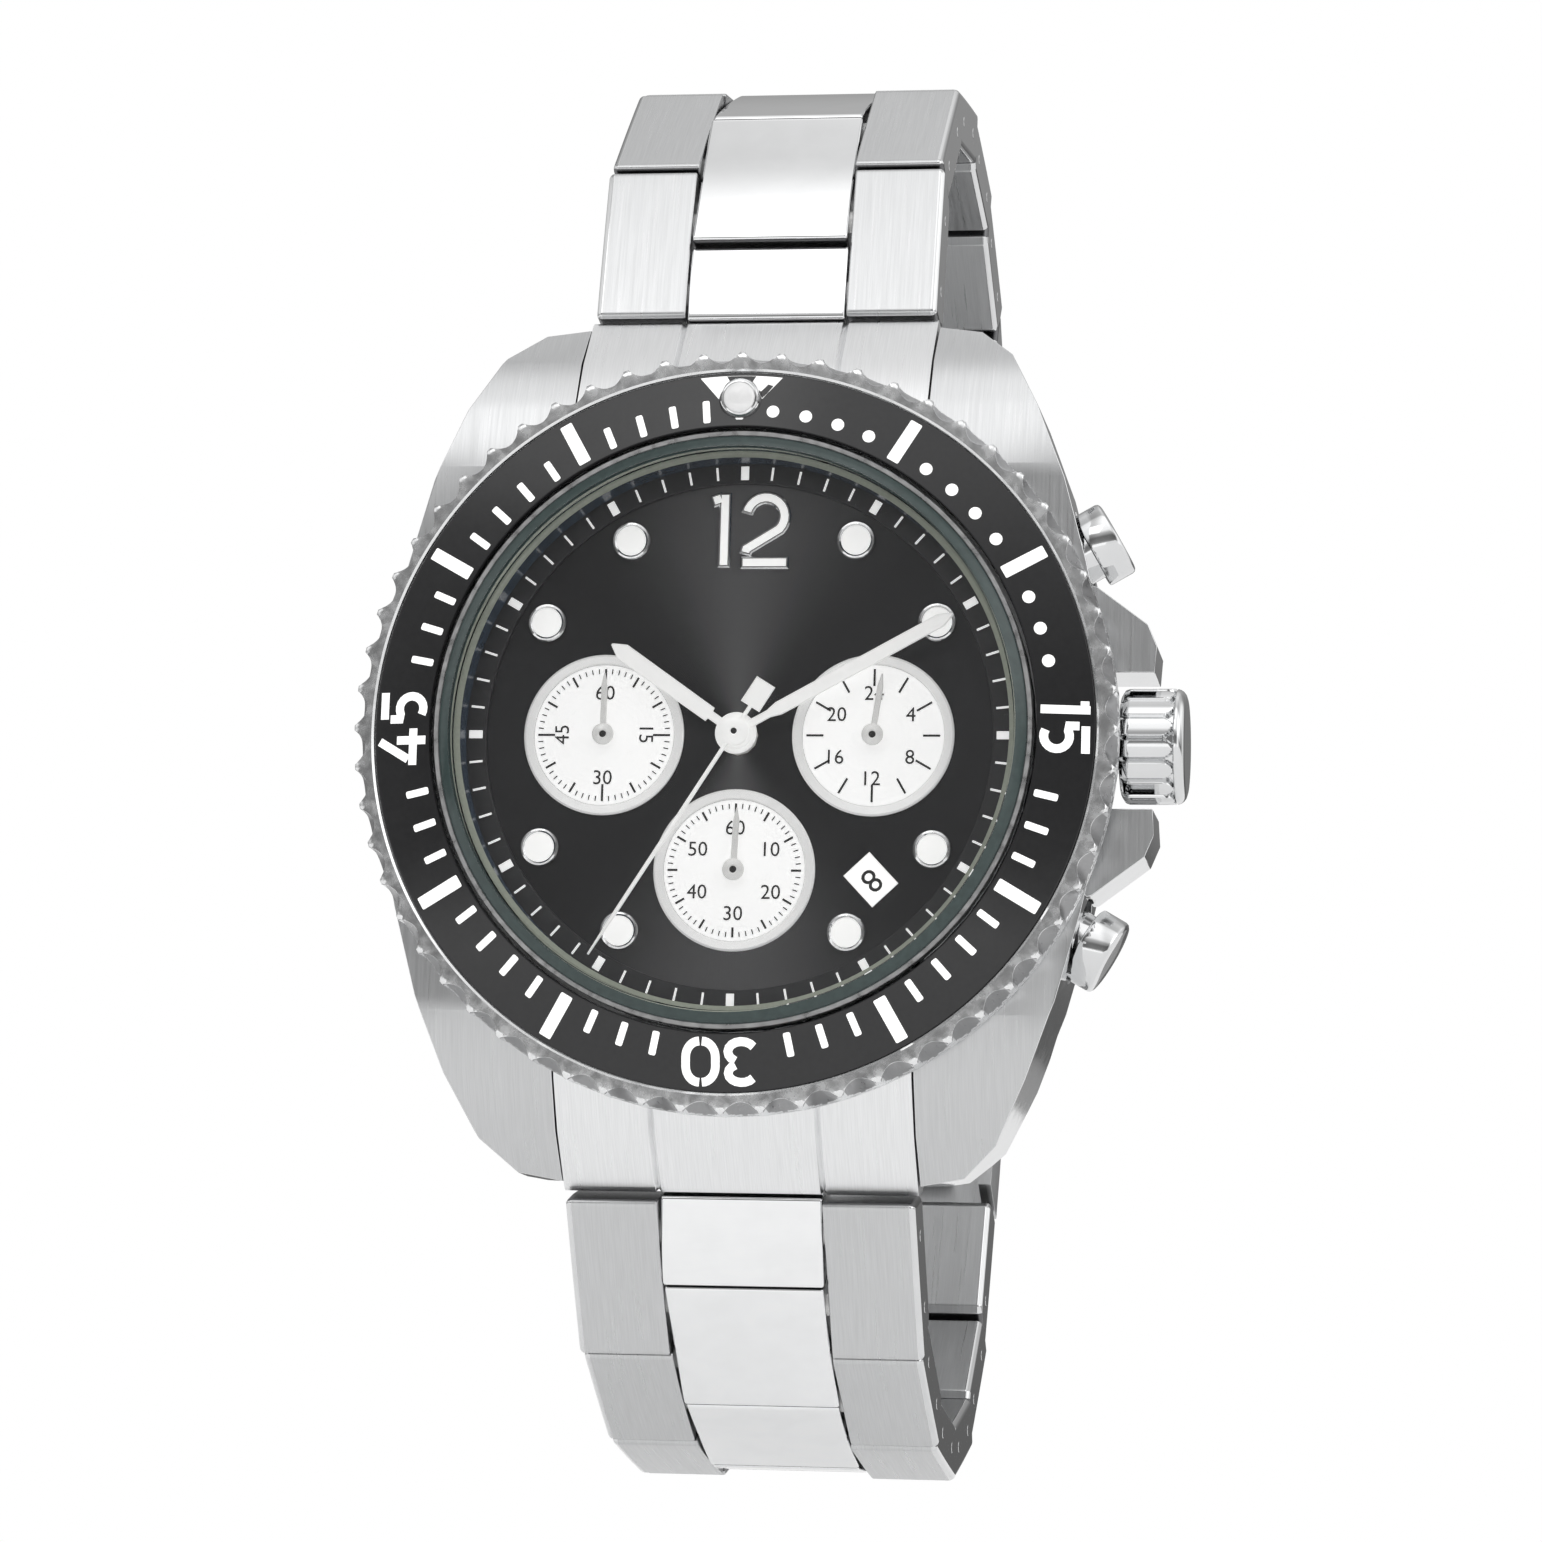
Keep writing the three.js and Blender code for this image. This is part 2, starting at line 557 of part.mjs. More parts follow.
const upperEnd = strand('upper', UPPER_TILTS, 0, false);
const lowerEndLocal = strand('lower', LOWER_TILTS, Math.PI, true);
const lowerEnd = [lowerEndLocal[0], -lowerEndLocal[1]];

// ---- clasp ----------------------------------------------------------------------------------
// Everything in the clasp follows arcs about one centre, on the wrist's side of both strand ends.
// Its group has that centre as origin, +Y through the clasp's middle, and +Z towards the upper end.
const chord = Math.hypot(upperEnd[0] - lowerEnd[0], upperEnd[1] - lowerEnd[1]);
const lean = Math.atan2(lowerEnd[0] - upperEnd[0], upperEnd[1] - lowerEnd[1]);
const drop = Math.sqrt(CLASP_R ** 2 - (chord / 2) ** 2);
const END_ANGLE = THREE.MathUtils.radToDeg(Math.asin(chord / 2 / CLASP_R));
const clasp = new THREE.Group();
clasp.rotation.x = lean;
clasp.position.set(
  0,
  (upperEnd[0] + lowerEnd[0]) / 2 - drop * Math.cos(lean),
  (upperEnd[1] + lowerEnd[1]) / 2 - drop * Math.sin(lean),
);
watch.add(clasp);

const polar = (r, angle) => [r * Math.cos(rad(angle)), r * Math.sin(rad(angle))];
const band = (inner, outer, from, to, steps) => outline([
  ...arc(0, 0, outer, from, to, steps), ...arc(0, 0, inner, to, from, steps),
]);

const COVER_TO = END_ANGLE - 3.1;
const PIVOT_UPPER = { r: CLASP_R - 1.0, angle: COVER_TO - 3.2 };
const PIVOT_LOWER = { r: CLASP_R - 1.75, angle: 7.2 - END_ANGLE };
const MIDDLE_BLADE_R = [CLASP_R - 1.45, CLASP_R - 0.55];
const INNER_BLADE_R = [CLASP_R - 3.0, CLASP_R - 2.1];
const at = (g, pivot) => g.translate(0, ...polar(pivot.r, pivot.angle));

function claspCover() {
  const plate = band(CLASP_R + 0.2, CLASP_R + LINK_T, -COVER_TO, COVER_TO, 16);
  const shell = alongX(plate, -COVER_HALF, COVER_HALF);
  const walls = [-1, 1].map((side) => {
    const low = Math.min(side * COVER_HALF, side * (COVER_HALF - COVER_WALL));
    return alongX(band(CLASP_R - 2.4, CLASP_R + 0.4, -COVER_TO, COVER_TO, 16), low, low + COVER_WALL);
  });
  // The eye for the lower strand's spring bar, and the tongue that carries it.
  const lowerEye = { r: CLASP_R, angle: -END_ANGLE };
  const eye = at(rodX(CLASP_EYE.r, -CLASP_EYE.half, CLASP_EYE.half, 14), lowerEye);
  const tongueSide = band(CLASP_R - 0.3, CLASP_R + 1.3, 0.6 - END_ANGLE, 1.5 - COVER_TO, 3);
  const tongue = alongX(tongueSide, -CLASP_EYE.half, CLASP_EYE.half);
  const bores = [
    at(rodX(BLADE_PIN_R + 0.12, -12, 12, 12), PIVOT_UPPER),
    at(rodX(CLASP_EYE.bore, -12, 12, 12), lowerEye),
  ];
  const buttonRoom = [-1, 1].map((side) => {
    return block([side * 8.6 - 1.2, side * 8.6 + 1.2], [CLASP_R - 1.9, CLASP_R - 0.1], [-2.2, 2.2]);
  });
  return cut(join(shell, ...walls, eye, tongue), ...bores, ...buttonRoom);
}

function middleBlade() {
  const side = band(...MIDDLE_BLADE_R, 9.5 - END_ANGLE, PIVOT_UPPER.angle - 1, 14);
  const plate = alongX(side, -BLADE_HALF, BLADE_HALF);
  const pin = (half, pivot) => at(rodX(BLADE_PIN_R, 0.1 - half, half - 0.1, 12), pivot);
  const upper = at(rodX(1.0, -BLADE_HALF, BLADE_HALF, 12), PIVOT_UPPER);
  const lower = at(rodX(1.15, -KNUCKLE_HALF, KNUCKLE_HALF, 14), PIVOT_LOWER);
  const webSide = band(CLASP_R - 2.0, MIDDLE_BLADE_R[1], 7.4 - END_ANGLE, 10 - END_ANGLE, 2);
  const web = alongX(webSide, -KNUCKLE_HALF, KNUCKLE_HALF);
  return join(plate, upper, pin(COVER_HALF, PIVOT_UPPER), lower, pin(BLADE_HALF, PIVOT_LOWER), web);
}

function innerBlade() {
  const side = band(...INNER_BLADE_R, 7.4 - END_ANGLE, COVER_TO + 0.4, 14);
  const plate = alongX(side, -BLADE_HALF, BLADE_HALF);
  const ears = [-1, 1].map((sign) => {
    const inner = KNUCKLE_HALF + 0.2;
    const low = Math.min(sign * inner, sign * BLADE_HALF);
    return at(rodX(1.2, low, low + BLADE_HALF - inner, 14), PIVOT_LOWER);
  });
  const end = { r: CLASP_R, angle: END_ANGLE };
  const eye = at(rodX(CLASP_EYE.r, -CLASP_EYE.half, CLASP_EYE.half, 14), end);
  const neck = alongX(outline([
    polar(INNER_BLADE_R[0], COVER_TO + 0.2), polar(INNER_BLADE_R[1], COVER_TO - 0.2),
    polar(CLASP_R - 0.6, END_ANGLE - 1.0), polar(CLASP_R - 1.2, END_ANGLE + 0.8),
  ]), -CLASP_EYE.half, CLASP_EYE.half);
  const gap = KNUCKLE_HALF + 0.1;
  const window = alongX(band(CLASP_R - 5, CLASP_R + 3, 4 - END_ANGLE, 10.2 - END_ANGLE, 2), -gap, gap);
  const bores = [
    at(rodX(BLADE_PIN_R + 0.1, -12, 12, 12), PIVOT_LOWER),
    at(rodX(CLASP_EYE.bore, -12, 12, 12), end),
  ];
  return cut(join(plate, ...ears, eye, neck), window, ...bores);
}

add('clasp_cover', claspCover(), brushed, clasp);
add('clasp_middle_blade', middleBlade(), polished, clasp);
add('clasp_inner_blade', innerBlade(), polished, clasp);
for (const [name, side] of [['clasp_button_left', -1], ['clasp_button_right', 1]]) {
  const x = [side * 7.3, side * 9.45].sort((a, b) => a - b);
  add(name, block(x, [CLASP_R - 1.8, CLASP_R - 0.2], [-2.1, 2.1]), polished, clasp);
}

// Where the joints of the bracelet and clasp lie, for whoever poses the model.
watch.userData.pivots = {
  upperTilts: UPPER_TILTS,
  lowerTilts: LOWER_TILTS,
  upperEnd: { r: CLASP_R, angle: END_ANGLE },
  lowerPivot: PIVOT_LOWER,
  upperPivot: PIVOT_UPPER,
};

export default watch;
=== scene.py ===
import json
import math
from contextlib import contextmanager

import bmesh
import bpy
from mathutils import Matrix, Vector

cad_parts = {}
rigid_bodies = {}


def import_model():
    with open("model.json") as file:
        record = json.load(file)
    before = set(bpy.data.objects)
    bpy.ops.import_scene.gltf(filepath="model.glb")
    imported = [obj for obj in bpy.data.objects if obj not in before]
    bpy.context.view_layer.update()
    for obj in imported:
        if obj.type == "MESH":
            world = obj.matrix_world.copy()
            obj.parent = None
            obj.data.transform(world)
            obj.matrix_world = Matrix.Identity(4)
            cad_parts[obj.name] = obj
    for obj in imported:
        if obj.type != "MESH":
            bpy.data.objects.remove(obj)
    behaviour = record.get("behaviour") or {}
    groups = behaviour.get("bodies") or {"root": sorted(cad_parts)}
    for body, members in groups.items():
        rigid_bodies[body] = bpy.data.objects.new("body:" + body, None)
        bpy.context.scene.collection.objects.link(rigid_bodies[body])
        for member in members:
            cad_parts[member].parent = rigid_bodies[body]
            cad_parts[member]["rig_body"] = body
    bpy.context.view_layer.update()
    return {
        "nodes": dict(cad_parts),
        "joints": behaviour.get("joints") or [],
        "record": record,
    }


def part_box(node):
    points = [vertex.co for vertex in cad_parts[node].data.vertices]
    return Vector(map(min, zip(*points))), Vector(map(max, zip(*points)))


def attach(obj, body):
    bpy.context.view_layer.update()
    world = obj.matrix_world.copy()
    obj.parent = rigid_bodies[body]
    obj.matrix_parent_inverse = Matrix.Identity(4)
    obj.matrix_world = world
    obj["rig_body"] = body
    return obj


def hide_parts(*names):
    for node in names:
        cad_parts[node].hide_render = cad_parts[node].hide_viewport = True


# Looks of the dive chronograph, built round its CAD frame. Lengths are in millimetres until a
# piece is made; the dial faces -Y, twelve o'clock is +Z and the crown is +X.
MM = 0.001
X, Y, Z = 0, 1, 2

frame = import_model()


def low(node, axis):
    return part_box(node)[0][axis] / MM


def high(node, axis):
    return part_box(node)[1][axis] / MM


# ---- places and sizes taken from the frame
DIAL_FACE = low("dial", Y)
BEZEL_R = high("bezel_ring", Z)
BEZEL_UNDER = high("bezel_ring", Y)
BEZEL_TOP = low("bezel_ring", Y)
INSERT_TOP = low("bezel_insert", Y)
INSERT_OUTER_R = high("bezel_insert", Z)
INSERT_INNER_R = 16.65
INSERT_SLOPE = 0.55 / (INSERT_OUTER_R - INSERT_INNER_R)
PEARL_AT = (low("bezel_pearl", Z) + high("bezel_pearl", Z)) / 2
PEARL_R = (high("bezel_pearl", Z) - low("bezel_pearl", Z)) / 2
PEARL_TOP = low("bezel_pearl", Y)
NECK_TOP = low("case_middle", Y)
CRYSTAL_TOP = low("crystal", Y)
CRYSTAL_BACK = high("crystal", Y)
CRYSTAL_R = high("crystal", X)
CHAPTER_FACE = low("chapter_ring", Y)
BUTTON_Y = (low("crown", Y) + high("crown", Y)) / 2
CROWN_X = (low("crown", X), high("crown", X))
CROWN_R = (high("crown", Y) - low("crown", Y)) / 2
DATE_FACE = low("date_disc", Y)
# ---- sizes of the fine detail
TEETH, SCALLOP_DEPTH, POCKET_SHARE = 60, 0.66, 0.44
KNURL_INNER_R, KNURL_FOOT = 20.25, 0.5
NECK_RIM_R = (16.1, 16.44)
CRYSTAL_BEVEL = 0.58
MINUTE_TRACK = (14.25, 14.98)
CROWN_LOBES, CROWN_BAND = 16, 0.62
PUSHER_ANGLE, PUSHER_END = 30.0, 23.45
FLANGE_R = 15.2
CHAPTER_R = (14.0, 15.15)
DOT_AT, DOT_R = 12.5, 1.07
SUBDIAL_R = (3.9, 4.45)
TICK_FOOT = 3.68
SUBDIALS = {"left": (-7.45, 0.0), "right": (7.45, 0.0), "lower": (0.0, -7.45)}
DATE_AT, DATE_ANGLE, DATE_DAYS = 10.9, 136.5, 31
DATE_SHOWN = 8
NECK_R, NECK_CLEAR_R, CROWN_GUARD_X = 17.2, 18.5, 20.0
BACK_SLOTS, BACK_SLOT_R = 6, 15.2
PIN_GAP = 4.6
LINK_T = 1.6
LINK_END = PIN_GAP / 2 - 0.1
LAST_LOWER_TILT = 152
SMOOTH_ANGLE = 32
FLOOR_Z, FLOOR_HALF = -52.0, 900
WELD = 2e-7


# ---- camera: on the photograph's side, below and to the crown side of the dial axis
def make_camera():
    """A pinhole whose own turn about the dial's centre is written as azimuth, elevation, roll."""
    turn = (
        Matrix.Rotation(0.003, 3, "Z")
        @ Matrix.Rotation(0.1563, 3, "Y")
        @ Matrix.Rotation(-0.1597, 3, "X")
    )
    # Camera axes before the turn: right is +X, down is -Z, forward is +Y.
    base = Matrix(((1, 0, 0), (0, 0, -1), (0, 1, 0)))
    to_camera = turn @ base
    offset = Vector((-1.70, -1.85, 275.0))
    position = -(to_camera.transposed() @ offset) + Vector((0, DIAL_FACE, 0))
    right, down, forward = to_camera
    axes = Matrix((right, -down, -forward)).transposed()
    data = bpy.data.cameras.new("camera")
    data.sensor_width = 36.0
    data.lens = 117.2
    data.clip_start, data.clip_end = 0.01, 20.0
    camera = bpy.data.objects.new("camera", data)
    camera.matrix_world = Matrix.Translation(position * MM) @ axes.to_4x4()
    bpy.context.scene.collection.objects.link(camera)
    bpy.context.scene.camera = camera


make_camera()


# ---- materials
class Nodes:
    """A shader node tree, with short ways to add to it."""

    def __init__(self, tree):
        self.nodes, self.links = tree.nodes, tree.links

    def fill(self, socket, value):
        """Sets an input, or links it when it is given another node's output."""
        if isinstance(value, bpy.types.NodeSocket):
            self.links.new(value, socket)
        else:
            socket.default_value = value

    def new(self, kind, **values):
        node = self.nodes.new(kind)
        for key, value in values.items():
            socket = node.inputs.get(key.replace("_", " "))
            if socket:
                self.fill(socket, value)
            else:
                setattr(node, key, value)
        return node

    def math(self, operation, *values):
        node = self.new("ShaderNodeMath", operation=operation)
        for socket, value in zip(node.inputs, values):
            self.fill(socket, value)
        return node.outputs["Value"]

    def ramp(self, source, stops, interpolation="LINEAR"):
        node = self.new("ShaderNodeValToRGB", Fac=source)
        node.color_ramp.interpolation = interpolation
        elements = node.color_ramp.elements
        while len(elements) < len(stops):
            elements.new(0.5)
        for element, (at, colour) in zip(elements, stops):
            element.position = at
            element.color = (*colour, 1)
        return node.outputs["Color"]


class Look(Nodes):
    """A Principled material; its sockets are set by name, with _ for a space."""

    def __init__(self, name, colour, roughness, metallic=0.0, **sockets):
        self.material = bpy.data.materials.new(name)
        self.material.use_nodes = True
        super().__init__(self.material.node_tree)
        self.shader = self.nodes["Principled BSDF"]
        self.colour = colour
        self.put(Base_Color=(*colour, 1), Roughness=roughness, Metallic=metallic, **sockets)

    def put(self, **sockets):
        for socket, value in sockets.items():
            self.fill(self.shader.inputs[socket.replace("_", " ")], value)
        return self

    def own_place(self):
        return self.new("ShaderNodeTexCoord").outputs["Object"]

    def grain(self, scale, detail=3.0, stretch=(1, 1, 1)):
        """Noise over the piece's own coordinates; scale is in cells to a millimetre."""
        scales = [scale / MM * s for s in stretch]
        place = self.new("ShaderNodeMapping", Vector=self.own_place(), Scale=scales)
        noise = self.new(
            "ShaderNodeTexNoise", Vector=place.outputs["Vector"], Scale=1.0, Detail=detail
        )
        return noise.outputs["Fac"]

    # Emission in the piece's own colour: the piece gives off light though it is no lamp.
    def glow(self, strength):
        return self.put(Emission_Color=(*self.colour, 1), Emission_Strength=strength)

    def vary_colour(self, source, amount):
        dark = [c * (1 - amount) for c in self.colour]
        light = [min(1.0, c * (1 + amount)) for c in self.colour]
        return self.put(Base_Color=self.ramp(source, [(0.3, dark), (0.7, light)]))

    def vary_roughness(self, source, lowest, highest):
        node = self.new(
            "ShaderNodeMapRange", Value=source, From_Min=0.3, From_Max=0.7, To_Min=lowest, To_Max=highest
        )
        return self.put(Roughness=node.outputs["Result"])

    def bump(self, source, height, strength):
        """Relief of the given height in millimetres."""
        node = self.new("ShaderNodeBump", Height=source, Distance=height * MM, Strength=strength)
        return self.put(Normal=node.outputs["Normal"])


def brushed_look(name, stretch, colour=(0.61, 0.615, 0.62)):
    look = Look(name, colour, 0.3, 1.0)
    streaks = look.grain(20.0, 3.0, stretch)
    look.vary_colour(streaks, 0.05)
    look.vary_roughness(look.grain(7.0, 2.0, stretch), 0.27, 0.35)
    return look.bump(streaks, 0.003, 0.4)


def polished_look(name, colour=(0.74, 0.745, 0.75), roughness=0.06):
    look = Look(name, colour, roughness, 1.0)
    look.vary_colour(look.grain(0.5, 2.0), 0.02)
    look.vary_roughness(look.grain(1.6, 4.0), roughness * 0.7, roughness * 1.6)
    return look.bump(look.grain(0.35, 1.0), 0.002, 0.4)


def satin_look(name, colour, metallic):
    """Matt plating of hands and dial rings, with a painted glow that lifts their brightness."""
    look = Look(name, colour, 0.4, metallic)
    look.vary_colour(look.grain(14.0, 3.0), 0.03)
    look.vary_roughness(look.grain(3.0, 2.0), 0.34, 0.46)
    # Painted glow: the plating gives off a little light of its own colour.
    return look.bump(look.grain(20.0, 2.0), 0.002, 0.4).glow(0.3)


def sunray_look():
    """Fine brushing from the dial's centre outwards, with a painted highlight: the base colour is
    lighter in a wedge at twelve and at six.
    """
    look = Look("sunray_dial", (0.036, 0.036, 0.038), 0.42, 0.9, Anisotropic=0.9)
    split = look.new("ShaderNodeSeparateXYZ", Vector=look.own_place())
    angle = look.math("ARCTAN2", split.outputs["X"], split.outputs["Z"])
    rays = look.new("ShaderNodeTexNoise", noise_dimensions="1D", W=angle, Scale=260.0, Detail=3.0)
    # Painted highlight: the base colour is made lighter in a wedge at twelve and at six.
    painted_wedge = look.math("POWER", look.math("ABSOLUTE", look.math("COSINE", angle)), 11.0)
    fine = look.math("MULTIPLY", rays.outputs["Fac"], 0.16)
    rays_and_painted_wedge = look.math("MULTIPLY_ADD", painted_wedge, 0.7, fine)
    dark, light = (0.022, 0.022, 0.0235), (0.17, 0.17, 0.174)
    tangent = look.new("ShaderNodeTangent", direction_type="RADIAL", axis="Y")
    look.put(Base_Color=look.ramp(rays_and_painted_wedge, [(0.06, dark), (0.8, light)]), Tangent=tangent.outputs["Tangent"])
    return look.bump(look.grain(30.0, 2.0), 0.002, 0.5)


def grooved_look():
    """White dial paint over fine rings turned about the piece's own centre, with a painted glow that
    lifts its brightness.
    """
    look = Look("grooved_white", (0.92, 0.92, 0.915), 0.4)
    rings = look.new(
        "ShaderNodeTexWave", wave_type="RINGS", rings_direction="Y", Scale=0.9 / MM,
        Vector=look.own_place(),
    ).outputs["Fac"]
    # Painted glow: the white paint gives off a little light of its own colour.
    return look.vary_colour(rings, 0.02).bump(rings, 0.006, 0.35).glow(0.42)


def painted_look(name, colour, roughness, grain=12.0, relief=0.004, vary=0.06, **sockets):
    look = Look(name, colour, roughness, 0.0, **sockets)
    noise = look.grain(grain, 3.0)
    look.vary_colour(noise, vary)
    look.vary_roughness(look.grain(grain / 4, 2.0), roughness * 0.85, min(1.0, roughness * 1.15))
    return look.bump(noise, relief, 0.5)


def rehaut_look():
    look = Look("rehaut_blue", (0.034, 0.053, 0.08), 0.24, 0.0, IOR=1.2)
    return look.vary_colour(look.grain(0.8, 2.0), 0.12)


def glass_look():
    look = Look("crystal_glass", (1.0, 1.0, 1.0), 0.0, IOR=1.5, Transmission_Weight=1.0)
    return look.vary_roughness(look.grain(0.2, 1.0), 0.0, 0.01)


LOOKS = {
    "brushed": brushed_look("brushed_steel", (1, 0.02, 0.02)),
    "brushed_round": brushed_look("brushed_steel_back", (1, 1, 0.03)),
    # A lighter copy of the brushed steel for the end links: painted light, as they are the same steel as
    # the links.
    "brushed_end": brushed_look("brushed_steel_end", (1, 0.02, 0.02), (0.86, 0.865, 0.87)),
    "neck": polished_look("neck_steel", (0.5, 0.5, 0.5), 0.3),
    "bevel": painted_look("crystal_bevel", (0.04, 0.062, 0.06), 0.14, 2.0, 0.0005, 0.12),
    "polished": polished_look("polished_steel"),
    "bezel": polished_look("bezel_steel", (0.84, 0.845, 0.85), 0.2),
    # Darker steel in the knurl's pockets: painted shade in the recesses.
    "pocket": brushed_look("bezel_pocket_steel", (1, 0.05, 1), (0.34, 0.34, 0.345)),
    # Dark steel for the link ends deep in the gaps: painted shade, as the ends are the same steel.
    "shade": brushed_look("dark_steel", (1, 1, 1), (0.16, 0.16, 0.165)),
    "mirror": polished_look("mirror_steel", (0.92, 0.925, 0.93), 0.035),
    "satin": satin_look("satin_silver", (0.9, 0.9, 0.89), 0.3),
    "ring_silver": satin_look("ring_silver", (0.74, 0.74, 0.735), 0.4),
    "small_hand": satin_look("satin_grey", (0.62, 0.62, 0.61), 0.5),
    "insert": painted_look("black_insert", (0.02, 0.02, 0.021), 0.16, 3.0, 0.001),
    "ring": painted_look("black_ring", (0.018, 0.018, 0.02), 0.45, 10.0, 0.003),
    "rehaut": rehaut_look(),
    "dial": sunray_look(),
    "grooved": grooved_look(),
    # The lume and the white print glow a little: painted light that lifts their brightness.
    "lume": painted_look("lume_white", (0.88, 0.88, 0.87), 0.55, 16.0, 0.012).glow(0.5),
    "pearl": painted_look("pearl_glass", (0.9, 0.9, 0.9), 0.2, 4.0, 0.001, 0.02, Coat_Weight=1.0),
    "print_white": painted_look("white_print", (0.92, 0.92, 0.91), 0.4).glow(0.5),
    "print_black": painted_look("black_print", (0.01, 0.01, 0.01), 0.4),
    "glass": glass_look(),
    "seal": painted_look("seal_ring", (0.055, 0.075, 0.075), 0.3, 5.0),
    "edge": painted_look("crystal_edge", (0.36, 0.39, 0.32), 0.4, 5.0),
    "plastic": painted_look("white_nylon", (0.82, 0.82, 0.8), 0.5, 5.0),
    "rubber": painted_look("black_rubber", (0.02, 0.02, 0.02), 0.7, 6.0, 0.01),
    "brass": brushed_look("brass_plate", (1, 1, 0.1), (0.72, 0.58, 0.32)),
}

SLOT_LOOKS = {
    "brushed_steel": "brushed",
    "polished_steel": "polished",
    "crystal_glass": "glass",
    "black_insert": "insert",
    "black_ring": "ring",
    "charcoal_dial": "dial",
    "lume_white": "lume",
    "white_print": "print_white",
    "white_nylon": "plastic",
    "black_rubber": "rubber",
    "brass": "brass",
}


# ---- outlines
def inset(points, distance):
    """Moves a closed outline inwards by the distance, corner by corner."""
    pairs = zip(points, points[1:] + points[:1])
    turn = 1 if sum(a[0] * b[1] - b[0] * a[1] for a, b in pairs) > 0 else -1
    moved = []
    for i, p in enumerate(points):
        before = Vector(p) - Vector(points[i - 1])
        after = Vector(points[(i + 1) % len(points)]) - Vector(p)
        if before.length < 1e-9 or after.length < 1e-9:
            moved.append(tuple(p))
            continue
        one = Vector((-before.y, before.x)).normalized() * turn
        two = Vector((-after.y, after.x)).normalized() * turn
        middle = one + two
        scale = max(middle.length_squared / 2, 0.3)
        moved.append(tuple(Vector(p) + middle / scale * distance))
    return moved


def rounded(corners, steps=5):
    """A closed outline from (u, v, radius) corners, each turned into a short arc."""
    points = []
    for i, (u, v, radius) in enumerate(corners):
        corner = Vector((u, v))
        back = Vector(corners[i - 1][:2]) - corner
        on = Vector(corners[(i + 1) % len(corners)][:2]) - corner
        if radius <= 0:
            points.append((u, v))
            continue
        half = back.angle(on) / 2
        reach = min(radius / math.tan(half), back.length * 0.49, on.length * 0.49)
        start, end = corner + back.normalized() * reach, corner + on.normalized() * reach
        for k in range(steps + 1):
            t = k / steps
            points.append(tuple(start * (1 - t) ** 2 + corner * 2 * t * (1 - t) + end * t * t))
    return points


def shrunk(corners, distance):
    """Corners moved inwards by the distance and then rounded, each with what is left of its radius."""
    points = inset([corner[:2] for corner in corners], distance)
    left = [max(r - distance, 0.03) if r > 0 else 0.0 for _, _, r in corners]
    return rounded([(u, v, r) for (u, v), r in zip(points, left)])


def arc(u, v, radius, start, end, steps, squash=1.0):
    """Points of an arc, angles in degrees from +u towards +v."""
    points = []
    for i in range(steps + 1):
        a = math.radians(start + (end - start) * i / steps)
        points.append((u + radius * math.cos(a), v + radius * squash * math.sin(a)))
    return points


def near(r, y, *steps):
    """Profile points, each given by how far it lies from (r, y)."""
    return [(r + out, y + back) for out, back in steps]


def ribbon(points, width):
    """The outline of a stroke of even width along an open line."""
    sides = ([], [])
    for i, p in enumerate(points):
        back = Vector(p) - Vector(points[max(i - 1, 0)])
        on = Vector(points[min(i + 1, len(points) - 1)]) - Vector(p)
        before, after = back.normalized(), on.normalized()
        way = (before if back.length else after) + (after if on.length else before)
        way.normalize()
        bend = max(way.dot(after if on.length else way), 0.5)
        normal = Vector((-way.y, way.x)) * (width / 2 / bend)
        sides[0].append(tuple(Vector(p) + normal))
        sides[1].append(tuple(Vector(p) - normal))
    return sides[0] + sides[1][::-1]


def bar(half_width, start, end):
    return [(-half_width, start), (half_width, start), (half_width, end), (-half_width, end)]


def at_clock(points, degrees):
    """Turns dial-plane points clockwise, so that what was at twelve lies at that clock angle."""
    c, s = math.cos(math.radians(degrees)), math.sin(math.radians(degrees))
    return [(x * c + z * s, z * c - x * s) for x, z in points]


def moved(points, dx, dz):
    return [(x + dx, z + dz) for x, z in points]


# ---- solids
def straight(point):
    return point


def shifted(dx, dz):
    """A placement that moves points across the dial plane."""
    return lambda point: (point[0] + dx, point[1], point[2] + dz)


